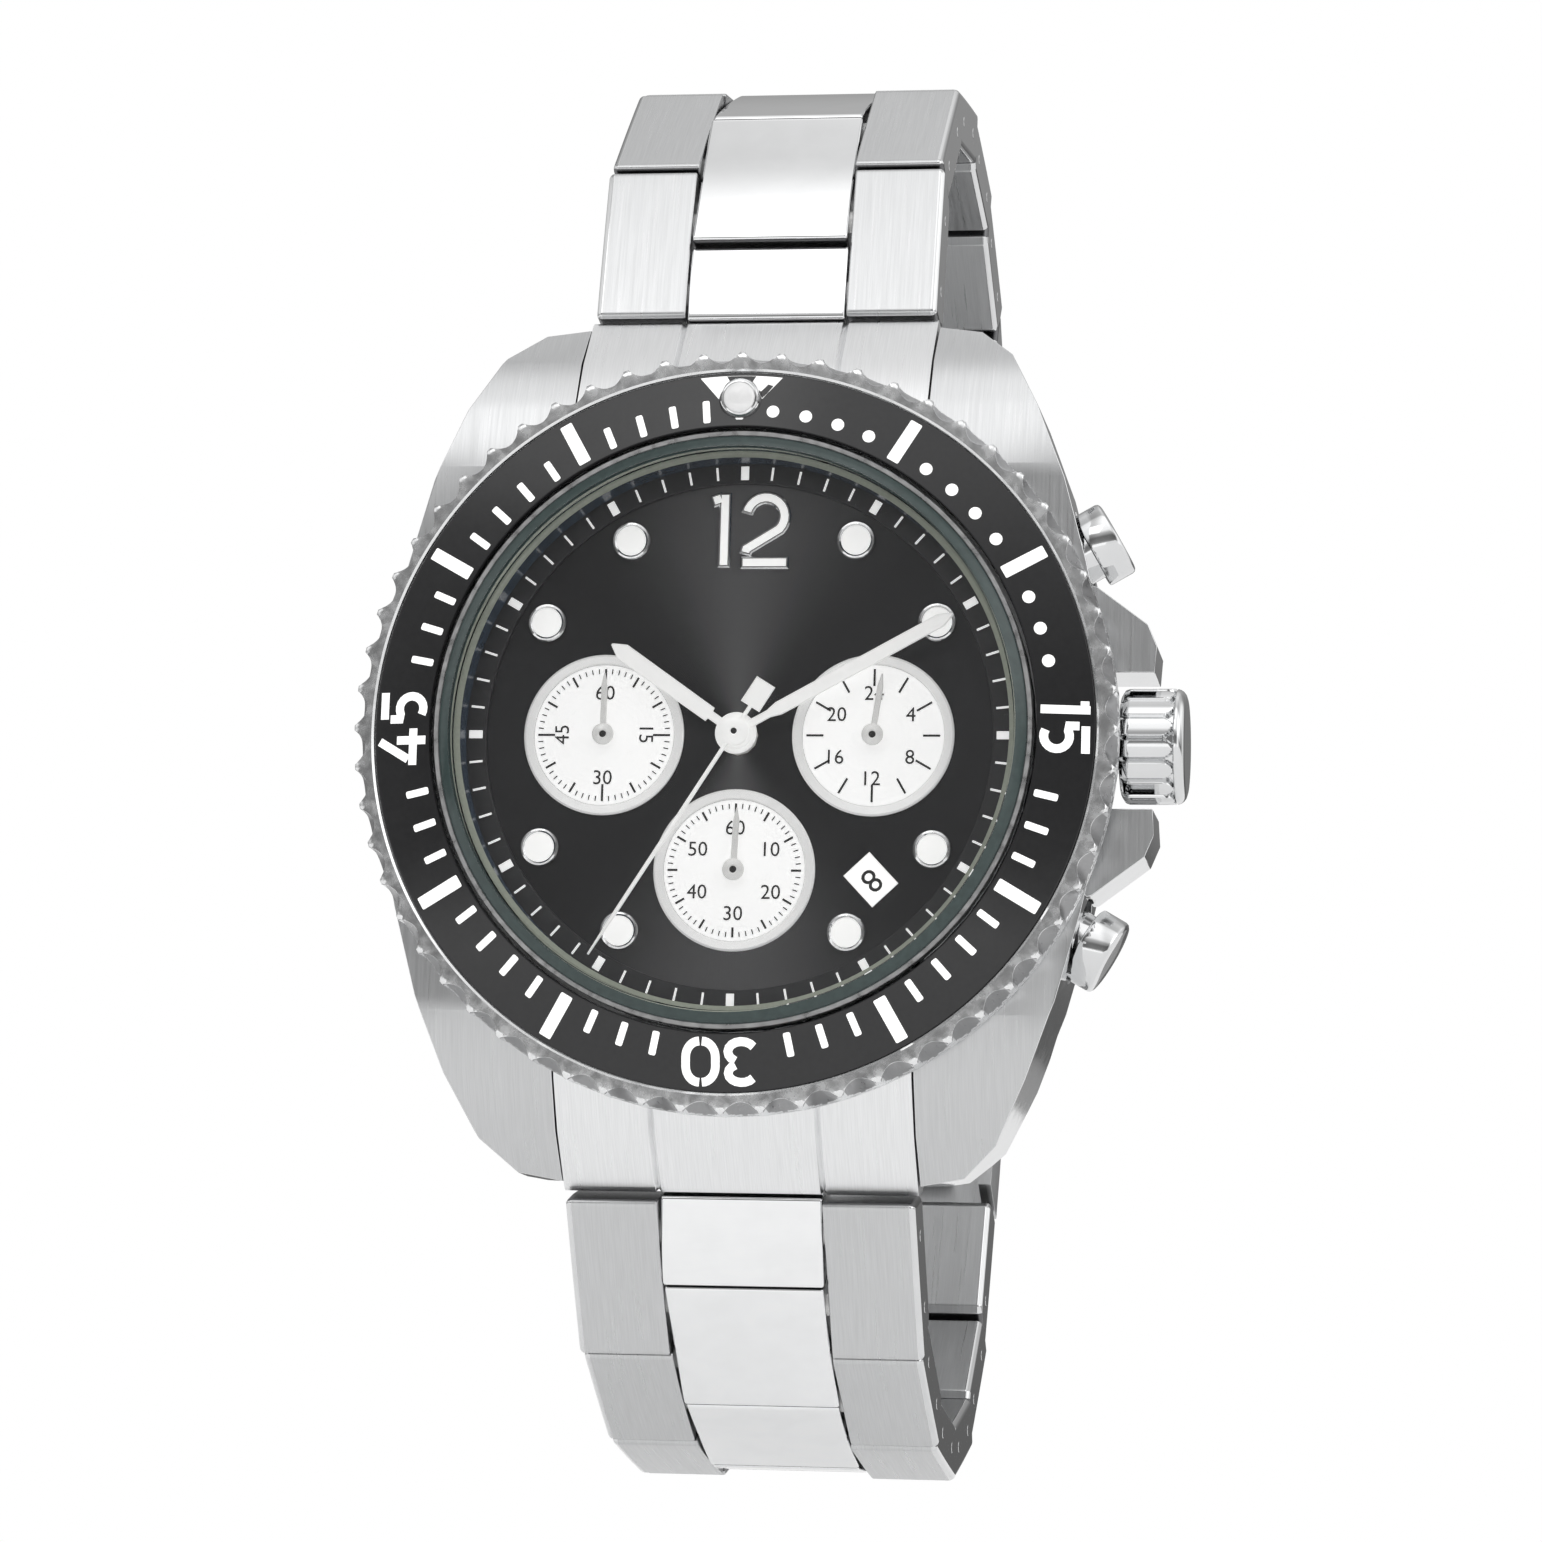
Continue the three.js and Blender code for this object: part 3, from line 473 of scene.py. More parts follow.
class Solid:
    """Vertices in millimetres and faces of one piece; each face carries a look number."""

    def __init__(self):
        self.verts, self.faces, self.looks = [], [], []

    def add(self, verts, faces):
        first = len(self.verts)
        self.verts += verts
        self.faces += [[first + i for i in face] for face in faces]
        self.looks += [0] * len(faces)

    def loft(self, rings, wrap=False, looks=None, edge_looks=None):
        """Joins rings of one length with quads, and closes the ends or joins them up."""
        count, size, first = len(rings), len(rings[0]), len(self.verts)
        self.verts += [tuple(p) for ring in rings for p in ring]
        looks = looks or [0] * count
        for i in range(count if wrap else count - 1):
            a, b = first + i * size, first + (i + 1) % count * size
            self.faces += [[a + k, a + (k + 1) % size, b + (k + 1) % size, b + k] for k in range(size)]
            self.looks += [looks[i] if look is None else look for look in edge_looks or [None] * size]
        if not wrap:
            last = first + (count - 1) * size
            self.faces += [list(range(first, first + size))[::-1], list(range(last, last + size))]
            self.looks += [looks[0], looks[-1]]
        return self

    def lathe(self, profile, segments, shape=None, place=straight, looks=None):
        """Turns a profile of (radius, y) about Y. A shape(radius, y, turn) may change the radius."""
        rings = []
        for r, y in profile:
            ring = []
            for k in range(segments):
                a = 2 * math.pi * k / segments
                radius = shape(r, y, k / segments) if shape else r
                ring.append(place((radius * math.sin(a), y, radius * math.cos(a))))
            rings.append(ring)
        return self.loft(rings, True, looks)

    def prism(self, outline, back, front, bevel=0.0, drape=None):
        """A dial-plane outline from y = back to y = front, with a bevelled front edge."""
        rings = [(outline, back), (outline, front + bevel)]
        if bevel:
            rings.append((inset(outline, bevel), front))
        lofted = [
            [(x, y + (drape(x, z) if drape else 0.0), z) for x, z in points] for points, y in rings
        ]
        return self.loft(lofted)

    def along_x(self, outline, start, end, edges, place, shade, looks=(0, 0, 0)):
        """(y, z, radius) corners drawn along X, with both ends rounded over; shade is the look of the
        faces that turn towards the next link, painted shade for the gap between links."""
        rings, steps = [], 4
        for side, at, edge in ((1, start, edges[0]), (-1, end, edges[1])):
            part = []
            for k in range(steps + 1):
                a = math.pi / 2 * k / steps
                ring = shrunk(outline, edge * (1 - math.sin(a)))
                x = at + side * edge * (1 - math.cos(a))
                part.append([place((x, y, z)) for y, z in ring])
            rings += part if side == 1 else part[::-1]
        bands = [looks[0]] * steps + [looks[1]] + [looks[2]] * steps
        ends = []
        full = shrunk(outline, 0.0)
        for (y, z), (v, w) in zip(full, full[1:] + full[:1]):
            # Faces deep in the gap between links take the painted shade.
            deep = min(y, v) > 0.22 - LINK_T and max(y, v) < 1.35
            ends.append(shade if deep and abs(y - v) > abs(z - w) else None)
        return self.loft(rings, looks=bands + [bands[-1]], edge_looks=ends)


@contextmanager
def edited(mesh):
    """A mesh opened as a bmesh, and written back at the end."""
    bm = bmesh.new()
    bm.from_mesh(mesh)
    yield bm
    bm.to_mesh(mesh)
    bm.free()


def finish_mesh(mesh, angle=SMOOTH_ANGLE):
    mesh.shade_smooth()
    mesh.set_sharp_from_angle(angle=math.radians(angle))


def dress(obj, names, body, stands_for=()):
    """Gives a finished object its looks and body, and hides the CAD nodes it stands for."""
    for name in names:
        obj.data.materials.append(LOOKS[name].material)
    bpy.context.scene.collection.objects.link(obj)
    weighting = obj.modifiers.new("weighted_normal", "WEIGHTED_NORMAL")
    weighting.keep_sharp = True
    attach(obj, body)
    if stands_for:
        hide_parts(*stands_for)
    return obj


def piece(name, solid, names, body, stands_for=(), angle=SMOOTH_ANGLE, origin=(0, 0, 0)):
    """Makes one Blender object from a solid; its origin is a place in millimetres."""
    mesh = bpy.data.meshes.new(name)
    centre = Vector(origin) * MM
    mesh.from_pydata([Vector(v) * MM - centre for v in solid.verts], [], solid.faces)
    mesh.polygons.foreach_set("material_index", solid.looks)
    with edited(mesh) as bm:
        bmesh.ops.remove_doubles(bm, verts=bm.verts, dist=5e-8)
        bmesh.ops.dissolve_degenerate(bm, edges=bm.edges, dist=1e-9)
        bmesh.ops.recalc_face_normals(bm, faces=bm.faces)
    finish_mesh(mesh, angle)
    obj = bpy.data.objects.new(name, mesh)
    obj.location = centre
    return dress(obj, names, body, stands_for)


def grooved(obj, cutters):
    """The mesh of an object after the cutters have been taken out of it; all of them are used up."""
    scene = bpy.context.scene.collection.objects
    with edited(obj.data) as bm:
        bmesh.ops.remove_doubles(bm, verts=bm.verts, dist=WELD)
    scene.link(obj)
    for cutter in cutters:
        scene.link(cutter)
        cut = obj.modifiers.new("cut", "BOOLEAN")
        cut.object, cut.operation, cut.solver = cutter, "DIFFERENCE", "EXACT"
    graph = bpy.context.evaluated_depsgraph_get()
    mesh = bpy.data.meshes.new_from_object(obj.evaluated_get(graph))
    for used in (obj, *cutters):
        bpy.data.objects.remove(used)
    mesh.materials.clear()
    return mesh


def softened(node, name, width, names, pick=None, angle=28, cutters=(), polish=None,
             spare=0.0):
    """A copy of a CAD node with its sharp edges bevelled: pick says which edges, polish(normal)
    which faces take the second look, and faces within the spare radius stay as they are."""
    source = frame["nodes"][node]
    mesh = source.data.copy()
    mesh.name = name
    mesh.materials.clear()
    if cutters:
        mesh = grooved(bpy.data.objects.new(f"{name}_whole", mesh), cutters)
    with edited(mesh) as bm:
        bmesh.ops.remove_doubles(bm, verts=bm.verts, dist=WELD)
        away = [v for v in bm.verts if math.hypot(v.co.x, v.co.z) > spare * MM]
        kept = set(away)
        edges = [e for e in bm.edges if kept.intersection(e.verts)]
        bmesh.ops.dissolve_limit(bm, angle_limit=math.radians(1.5), verts=away, edges=edges)
        sharp = [
            e for e in bm.edges
            if len(e.link_faces) == 2 and e.calc_face_angle_signed(0) > math.radians(angle)
        ]
        if pick:
            sharp = [e for e in sharp if pick(e)]
        for face in bm.faces:
            shiny = polish and polish(face.normal)
            face.material_index = 1 if shiny else 0
        bmesh.ops.bevel(
            bm, geom=sharp, offset=width * MM, segments=3, profile=0.5, affect="EDGES",
            clamp_overlap=True, material=len(names) - 1,
        )
    finish_mesh(mesh)
    return dress(bpy.data.objects.new(name, mesh), names, source["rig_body"], [node])


# ---- bezel
def scallop(turn, y):
    """How deep the knurl's pockets are at a share of the full turn: deepest at the top."""
    phase = abs(turn * TEETH % 1.0 - 0.5) / POCKET_SHARE
    rise = min(1.0, max(0.0, (BEZEL_UNDER - 0.55 - y) / (BEZEL_UNDER - 0.55 - BEZEL_TOP)))
    return SCALLOP_DEPTH * (0.1 + 0.9 * rise) * max(0.0, 1.0 - phase**2) ** 0.85


def make_bezel():
    bore = INSERT_INNER_R - 0.03
    rim = INSERT_OUTER_R + 0.06
    flank = [(BEZEL_R, BEZEL_UNDER - 0.62 - 0.165 * i) for i in range(10)]
    profile = [
        (bore, BEZEL_UNDER), (20.7, BEZEL_UNDER),
        *near(20.92, BEZEL_UNDER, (-0.04, -0.1), (0, -0.2), (0, -0.4), (-0.04, -0.48)), *flank,
        *near(BEZEL_R, BEZEL_TOP, (-0.03, 0.16), (-0.1, 0.06), (-0.2, 0.01)), (20.6, BEZEL_TOP),
        (20.2, BEZEL_TOP), *near(rim, BEZEL_TOP, (0.12, 0), (0, 0.1)), (rim, -9.6), (bore, -10.05),
    ]

    def knurl(r, y, turn):
        if r < KNURL_INNER_R or y > BEZEL_UNDER - KNURL_FOOT:
            return r
        return min(r, BEZEL_R - 0.02 - scallop(turn, y))

    solid = Solid().lathe(profile, TEETH * 16, shape=knurl)
    # Faces deep in the pockets take the darker steel, painted shade.
    for i, face in enumerate(solid.faces):
        corners = [solid.verts[v] for v in face]
        r = sum(math.hypot(x, z) for x, _, z in corners) / len(corners)
        y = sum(corner[1] for corner in corners) / len(corners)
        if KNURL_INNER_R < r < BEZEL_R - 0.13 and BEZEL_TOP + 0.1 < y < BEZEL_UNDER - 0.6:
            solid.looks[i] = 1
    looks = ["bezel", "pocket"]
    piece("bezel_knurled_ring", solid, looks, "bezel", ["bezel_ring"], 36)


def insert_face(x, z):
    """How far the sloping insert lies behind its inner top edge."""
    return (math.hypot(x, z) - INSERT_INNER_R) * INSERT_SLOPE


def make_insert():
    inner, outer = INSERT_INNER_R, INSERT_OUTER_R
    top = INSERT_TOP
    low_edge = top + INSERT_SLOPE * (outer - inner)
    profile = [
        *near(inner, top, (0, 0.45), (0, 0.1), (0.03, 0.03), (0.1, 0.02)),
        *near(outer, low_edge, (-0.1, -0.02), (-0.02, 0.03), (0, 0.1), (0, 0.35)),
    ]
    solid = Solid().lathe(profile, 240)
    piece("bezel_insert_ring", solid, ["insert"], "bezel", ["bezel_insert"])


STROKE = 0.47
DIGIT_H = 2.65


def stencil_digit(character):
    """Strokes of a stencil digit in a box about 2 wide and DIGIT_H high, from its lower left."""
    h, w, s = DIGIT_H, 1.95, STROKE / 2
    r = (w - 2 * s) / 2
    if character == "0":
        half = [(w / 2 + 0.07, s), *arc(w / 2 + 0.07, s + r * 1.15, r, -90, 0, 8, 1.15)]
        half += [*arc(w / 2 + 0.07, h - s - r * 1.15, r, 0, 90, 8, 1.15)]
        return [half, [(w - x, z) for x, z in half]], w
    if character == "1":
        return [[(0.5, 0), (0.5, h)], [(0.26, h - 0.3), (0.02, h - 0.3)]], 0.8
    if character == "3":
        up, down = 0.5, 0.545
        return [
            arc(w / 2, h - s - up, w / 2 - s - 0.02, 150, -62, 10, up / (w / 2 - s)),
            arc(w / 2, s + down, w / 2 - s, 62, -150, 10, down / (w / 2 - s)),
        ], w
    if character == "4":
        slope, cross = [(1.3, h), (0.3, 0.98)], [(-0.02, 0.72), (w + 0.05, 0.72)]
        return [slope, cross, [(1.35, 1.66), (1.35, 0.0)]], w
    if character == "5":
        bowl = h * 0.33
        return [
            [(w * 0.92, h - s), (0.3, h - s)],
            [(0.3, h - 2 * s - 0.1), (0.3, 2 * bowl - 0.2),
             *arc(w * 0.45, bowl, bowl - s * 0.8, 115, -120, 14)],
        ], w
    raise ValueError(character)


def make_insert_marks():
    """Raised print on the insert: dots, bars, numerals and the triangle round the pearl."""
    solid = Solid()

    def mark(outline, degrees, lift=0.03):
        placed = at_clock(outline, degrees)
        solid.prism(placed, INSERT_TOP + 0.05, INSERT_TOP + 0.02 - lift, 0.012, drape=insert_face)

    long_bar = rounded([(x, z, 0.08) for x, z in bar(0.36, 16.95, 19.5)], 2)
    short_bar = rounded([(x, z, 0.1) for x, z in bar(0.2, 16.95, 18.25)], 2)
    numerals = {15: "15", 30: "30", 45: "45"}
    for minute in sorted({*range(1, 60)} - {*numerals}):
        degrees = minute * 6
        if minute % 5 == 0:
            mark(long_bar, degrees)
        elif minute < 14:
            mark(arc(0, 17.6, 0.35, 0, 345, 23), degrees)
        elif min(abs(minute - n) for n in numerals) > 1:
            mark(short_bar, degrees)
    for minute, text in numerals.items():
        drawn = [stencil_digit(c) for c in text]
        gap = 0.28
        across = sum(width for _, width in drawn) + gap * (len(text) - 1)
        x = -across / 2
        for strokes, width in drawn:
            for stroke in strokes:
                mark(moved(ribbon(stroke, STROKE), x, 16.85), minute * 6)
            x += width + gap
    edge = [(-2.3 + 4.6 * i / 8, math.sqrt(19.62**2 - (-2.3 + 4.6 * i / 8) ** 2)) for i in range(9)]
    mark([*edge, (0.16, 17.05), (-0.16, 17.05)], 0, 0.025)
    piece("bezel_insert_marks", solid, ["print_white"], "bezel")


def make_pearl():
    base = PEARL_TOP + 0.95
    dome_r = PEARL_R - 0.32
    cup = [
        (PEARL_R, base),
        *near(PEARL_R, PEARL_TOP, (0, 0.66), (-0.05, 0.5), (-0.14, 0.32), (-0.24, 0.21)),
        (dome_r, PEARL_TOP + 0.19), (dome_r, base),
    ]
    put = shifted(0, PEARL_AT)
    solid = Solid().lathe(cup, 64, place=put)
    piece("pearl_cup", solid, ["polished"], "bezel")
    dome = [(dome_r * math.sin(a), PEARL_TOP + 0.26 * (1 - math.cos(a))) for a in
            [math.pi / 2 * k / 8 for k in range(9)]]
    solid = Solid().lathe([*dome, (dome_r, base), (0.0, base)], 48, place=put)
    piece("pearl_lume", solid, ["pearl"], "bezel", ["bezel_pearl"])


# ---- crystal, rehaut and dial
def make_crystal():
    top, back, r = CRYSTAL_TOP, CRYSTAL_BACK, CRYSTAL_R
    foot, rim = NECK_TOP - 0.05, r + CRYSTAL_BEVEL + 0.06
    profile = [
        *near(0, top, (0, 0.02), (r * 0.5, 0.03), (r + 0.05, 0.05), (r + 0.1, 0.07)),
        (r + CRYSTAL_BEVEL, foot - 0.12), (rim, foot - 0.06), (rim, foot), (r, foot), (r, back - 0.08),
        (r - 0.1, back), (0.0, back),
    ]
    solid = Solid().lathe(profile, 192, looks=[0, 0, 0, 1, 1, 1, 1, 0, 0, 0, 0])
    crystal = piece("crystal_disc", solid, ["glass", "bevel"], "case", ["crystal"], 20)
    crystal.visible_shadow = False
    wall = [
        *near(FLANGE_R, DIAL_FACE, (-0.01, -0.35), (-0.1, -0.4)), (FLANGE_R - 0.1, back + 0.03),
        *near(r, back, (0.02, 0.03), (0.02, 0.045)), (FLANGE_R - 0.01, back + 0.1),
    ]
    solid = Solid().lathe(wall, 192, looks=[0, 0, 1, 1, 1, 0])
    piece("rehaut_ring", solid, ["rehaut", "edge"], "case")
    lip = NECK_TOP - 0.03
    seal = [
        (r + 0.06, back), (r + 0.06, lip), (16.14, lip), (16.14, NECK_TOP - 0.01),
        (15.8, NECK_TOP - 0.01), (15.8, back),
    ]
    inner, outer = NECK_RIM_R
    rim = [
        *near(outer, NECK_TOP, (0, 0.5), (0, -0.02), (-0.04, -0.07)),
        *near(inner, NECK_TOP, (0.08, -0.07), (0.02, -0.01), (0, -0.01), (0, 0.5)),
    ]
    piece("neck_rim", Solid().lathe(rim, 240), ["neck"], "case")
    piece("crystal_seal", Solid().lathe(seal, 192), ["seal"], "case", ["crystal_gasket"])


def make_chapter_ring():
    inner, outer = CHAPTER_R
    profile = [
        (inner, DIAL_FACE - 0.03), (inner + 0.02, CHAPTER_FACE + 0.03), (inner + 0.06, CHAPTER_FACE),
        (15.9, CHAPTER_FACE), (15.9, DIAL_FACE - 0.03),
    ]
    piece("chapter_disc", Solid().lathe(profile, 192), ["ring"], "case", ["chapter_ring"])
    solid = Solid()
    back, front = CHAPTER_FACE + 0.01, CHAPTER_FACE - 0.025
    for minute in range(60):
        start, end = MINUTE_TRACK
        outline = bar(0.06, start, end) if minute % 5 else bar(0.22, start - 0.03, end)
        solid.prism(at_clock(outline, minute * 6), back, front, 0.008)
    piece("minute_track", solid, ["print_white"], "case")


def make_dots():
    cups, fills = Solid(), Solid()
    for hour in (1, 2, 4, 5, 7, 8, 10, 11):
        put = shifted(*at_clock([(0, DOT_AT)], hour * 30)[0])
        cup = near(DOT_R, DIAL_FACE, (0, 0), (0, -0.22), (-0.06, -0.3), (-0.16, -0.32), (-0.24, -0.26),
                   (-0.26, 0))
        cups.lathe(cup, 48, place=put)
        inner = DOT_R - 0.25
        fill = near(0, DIAL_FACE, (0, -0.27), (inner * 0.7, -0.26), (inner, -0.22), (inner, 0), (0, 0))
        fills.lathe(fill, 40, place=put)
    piece("dial_dot_rings", cups, ["polished"], "case")
    piece("dial_dot_lume", fills, ["lume"], "case")


def make_twelve():
    """The raised outlined numeral at twelve: a polished body with a white face let into it."""
    h, foot, two_x, bowl, wide = 4.2, 9.3, 1.32, 1.06, 0.7
    strokes = [
        [(-0.95, 0.0), (-0.95, h)],
        [(-1.05, h - 0.28), (-1.7, h - 0.5)],
        [*arc(two_x, h - bowl - 0.28, bowl, 172, -42, 14),
         (two_x - 1.02, 0.62 + 0.42), (two_x - 1.1, 0.72)],
        [(two_x - 1.34, 0.28), (two_x + 1.34, 0.28)],
    ]
    body, face = Solid(), Solid()
    for stroke in strokes:
        outline = ribbon(stroke, wide)
        body.prism(moved(outline, -0.1, foot), DIAL_FACE, DIAL_FACE - 0.3, 0.07)
        filled = moved(inset(outline, 0.14), -0.1, foot)
        face.prism(filled, DIAL_FACE - 0.28, DIAL_FACE - 0.325, 0.01)
    piece("dial_twelve", body, ["polished"], "case")
    piece("dial_twelve_face", face, ["lume"], "case")


# ---- numerals from the built-in typeface
def add_number(solid, text, height, x, z, degrees, back, front):
    """Adds a number, centred on (x, z) and turned clockwise, as thin raised print."""
    curve = bpy.data.curves.new("number", "FONT")
    curve.body = text
    curve.align_x, curve.align_y = "CENTER", "CENTER"
    curve.size = height / 0.7
    curve.extrude = abs(back - front) / 2
    curve.resolution_u = 3
    obj = bpy.data.objects.new("number", curve)
    bpy.context.scene.collection.objects.link(obj)
    graph = bpy.context.evaluated_depsgraph_get()
    mesh = bpy.data.meshes.new_from_object(obj.evaluated_get(graph))
    us = [v.co.x for v in mesh.vertices]
    vs = [v.co.y for v in mesh.vertices]
    du, dv = (min(us) + max(us)) / 2, (min(vs) + max(vs)) / 2
    flat = [(v.co.x - du, v.co.y - dv) for v in mesh.vertices]
    plane = moved(at_clock(flat, degrees), x, z)
    middle = (back + front) / 2
    verts = [(p[0], middle - v.co.z, p[1]) for p, v in zip(plane, mesh.vertices)]
    solid.add(verts, [list(f.vertices) for f in mesh.polygons])
    bpy.data.objects.remove(obj)
    bpy.data.curves.remove(curve)
    bpy.data.meshes.remove(mesh)


# Each sub-dial's numbers clockwise from the top, how many ticks it has, how many of them make a
# major step, and how long the major ones are.
SUBDIAL_PRINT = {
    "left": ((60, 15, 30, 45), 60, 5, 0.95),
    "right": ((24, 4, 8, 12, 16, 20), 12, 1, 0.95),
    "lower": ((60, 10, 20, 30, 40, 50), 60, 5, 0.55),
}


def make_subdials():
    inner, outer = SUBDIAL_R
    face = DIAL_FACE - 0.06
    ink = face - 0.02
    for label, (cx, cz) in SUBDIALS.items():
        put = shifted(cx, cz)
        rim = inner + 0.05
        disc = [(0.4, DIAL_FACE), (0.4, face), (rim, face), (rim, DIAL_FACE)]
        disc = Solid().lathe(disc, 96, place=put)
        piece(f"subdial_{label}_disc", disc, ["grooved"], "case", origin=(cx, 0, cz))
        edge = Solid().lathe([
            (inner, DIAL_FACE), *near(inner, face, (0, -0.02), (0.07, -0.1)),
            *near(outer, face, (-0.1, -0.17), (0, -0.1)), (outer, DIAL_FACE),
        ], 96, place=put)
        line = near(inner, face, (-0.01, 0.02), (-0.01, -0.01), (0.03, -0.02), (0.03, 0.02))
        edge.lathe(line, 96, place=put, looks=[1] * 4)
        piece(f"subdial_{label}_ring", edge, ["ring_silver", "print_black"], "case")
        numbers, ticks, every, long = SUBDIAL_PRINT[label]
        printed = Solid()
        for tick in range(ticks):
            major = tick % every == 0
            length = long if major else 0.28
            if major and tick % (every * 3) and label == "left":
                length = 0.62
            outline = bar(0.06 if major else 0.03, TICK_FOOT - length, TICK_FOOT)
            placed = moved(at_clock(outline, tick * 360 / ticks), cx, cz)
            printed.prism(placed, face + 0.01, ink)
        for index, number in enumerate(numbers):
            degrees = index * 360 / len(numbers)
            x, z = at_clock([(0, 2.35)], degrees)[0]
            turn = degrees if label == "left" and degrees != 180 else 0
            turn = turn - 360 if turn > 180 else turn
            add_number(printed, str(number), 0.79, cx + x, cz + z, turn, face + 0.01, ink)
        piece(f"subdial_{label}_print", printed, ["print_black"], "case")


def make_date():
    """The date disc with its days, and the frame of the window over it."""
    disc = near(0, DATE_FACE, (9.3, 0.17), (9.3, 0.02), (9.34, 0), (12.46, 0), (12.5, 0.02),
                (12.5, 0.17))
    wheel = Solid().lathe(disc, 120)
    piece("date_wheel", wheel, ["print_white"], "date_disc", ["date_disc"])
    days = Solid()
    for day in range(1, DATE_DAYS + 1):
        degrees = DATE_ANGLE + (DATE_SHOWN - day) * 360 / DATE_DAYS
        x, z = at_clock([(0, DATE_AT)], degrees)[0]
        add_number(days, str(day), 1.32, x, z, degrees, DATE_FACE + 0.02, DATE_FACE - 0.015)
    piece("date_days", days, ["print_black"], "date_disc")
    window = [(x, z + DATE_AT) for x, z in bar(0.95, -1.17, 1.17)]
    rings = []
    for grow, y in ((0.0, DIAL_FACE + 0.38), (0.0, DIAL_FACE - 0.01), (-0.03, DIAL_FACE - 0.03),
                    (-0.07, DIAL_FACE - 0.01), (-0.07, DIAL_FACE + 0.38)):
        turned = at_clock(inset(window, -grow - 0.01), DATE_ANGLE)
        rings.append([(x, y, z) for x, z in turned])
    piece("date_frame", Solid().loft(rings, wrap=True), ["print_white"], "case")


# ---- hands
HAND_CENTRES = {
    "day_hour_hand": SUBDIALS["right"], "chrono_minutes_hand": SUBDIALS["left"],
    "running_seconds_hand": SUBDIALS["lower"],
}


def make_hand(node, side, degrees, hub, tube, bore, look):
    """A bevelled blade with a turned hub; side is (half width, distance) up its right edge."""
    cx, cz = HAND_CENTRES.get(node, (0.0, 0.0))
    front, inner = low(node, Y), high(node, Y)
    back = front + 0.13
    outline = [*side, *[(-w, z) for w, z in reversed(side)]]
    solid = Solid().prism(moved(at_clock(outline, degrees), cx, cz), back, front, 0.04)
    put = shifted(cx, cz)
    hole = min(bore, tube - 0.06)
    solid.lathe([
        (bore, back), (bore, front - 0.06), (bore + 0.06, front - 0.09), (hub - 0.1, front - 0.06),
        (hub, front), (hub, back), (tube, back), (tube, inner), (hole, inner), (hole, back),
    ], 48, place=put)
    piece(f"{node}_blade", solid, [look], node, [node])
    if bore < 0.3:
        pin = Solid().lathe([
            (0.0, front - 0.07), (hole * 0.7, front - 0.06), (hole - 0.01, front), (hole - 0.01, inner),
            (0.0, inner),
        ], 24, place=put)
        piece(f"{node}_arbor", pin, ["print_black"], node)


def make_hands():
    hour = [(0.24, 0.6), (0.24, 1.76), (0.44, 1.8), (0.48, 7.85), (0.06, 8.6)]
    minute = [(0.22, 0.5), (0.22, 2.1), (0.38, 2.7), (0.38, 12.75), (0.05, 13.5)]
    chrono = [(0.6, -3.2), (0.6, -1.6), (0.11, -1.6), (0.11, 11.5), (0.05, 14.5)]
    small = [(0.17, 0.0), (0.17, 2.7), (0.03, 3.4)]
    jobs = [
        ("hour_hand", hour, 305, 1.15, 0.95, 0.7),
        ("minute_hand", minute, 61, 0.95, 0.6, 0.4),
        ("chrono_seconds_hand", chrono, 212, 0.8, 0.3, 0.18),
        ("day_hour_hand", small, 8, 0.6, 0.28, 0.2),
        ("chrono_minutes_hand", small, 0, 0.6, 0.28, 0.2),
        ("running_seconds_hand", small, 2, 0.6, 0.28, 0.2),
    ]
    for node, side, degrees, hub, tube, bore in jobs:
        look = "small_hand" if hub < 0.7 else "satin"
        make_hand(node, side, degrees, hub, tube, bore, look)


# ---- crown and pushers
def on_crown_axis(point, degrees=0.0):
    """Takes a solid turned about Y onto the crown's axis, swung in the plane of the dial."""
    x, y, z = point
    c, s = math.cos(math.radians(degrees)), math.sin(math.radians(degrees))
    return (y * c + z * s, BUTTON_Y + x, y * s - z * c)


def make_crown():
    inner, outer = CROWN_X
    lobe_end = outer - CROWN_BAND
    r = CROWN_R

    def flutes(radius, along, turn):
        """Grooves between the lobes; the last of each lobe is rounded off towards the rim."""
        if radius < r - 0.45 or along > lobe_end + 0.02:
            return radius
        phase = abs(turn * CROWN_LOBES % 1.0 - 0.5) * 2
        over = max(0.0, along - (lobe_end - 0.62)) / 0.64
        full = math.sqrt(max(0.0, 1.0 - over**2))
        depth = 0.36 * max(0.0, min(1.0, (phase - 0.78 * full + 0.02) / 0.2))
        return radius - depth if radius > r - 0.3 else min(radius, r - 0.3)

    lobe = [(r, inner + 0.42 + k * 0.2) for k in range(8)]
    last = [(r, lobe_end - 0.6 + k * 0.075) for k in range(9)]
    profile = [
        (2.1, inner + 1.9), (2.1, inner), (2.75, inner), *near(r, inner, (-0.3, 0.06), (-0.08, 0.2)),
        *lobe, *last, *near(r, lobe_end, (-0.34, 0.01), (-0.3, 0.05), (-0.04, 0.08), (-0.02, 0.14)),
        *near(r, outer, (-0.06, -0.34), (-0.16, -0.2), (-0.32, -0.08), (-0.55, -0.01), (-0.85, 0)),
        (1.2, outer - 0.02), (0.0, outer - 0.02), (0.0, inner + 1.9),
    ]
    solid = Solid().lathe(profile, CROWN_LOBES * 20, shape=flutes, place=on_crown_axis)
    piece("crown_fluted", solid, ["polished"], "crown", ["crown"], 35)


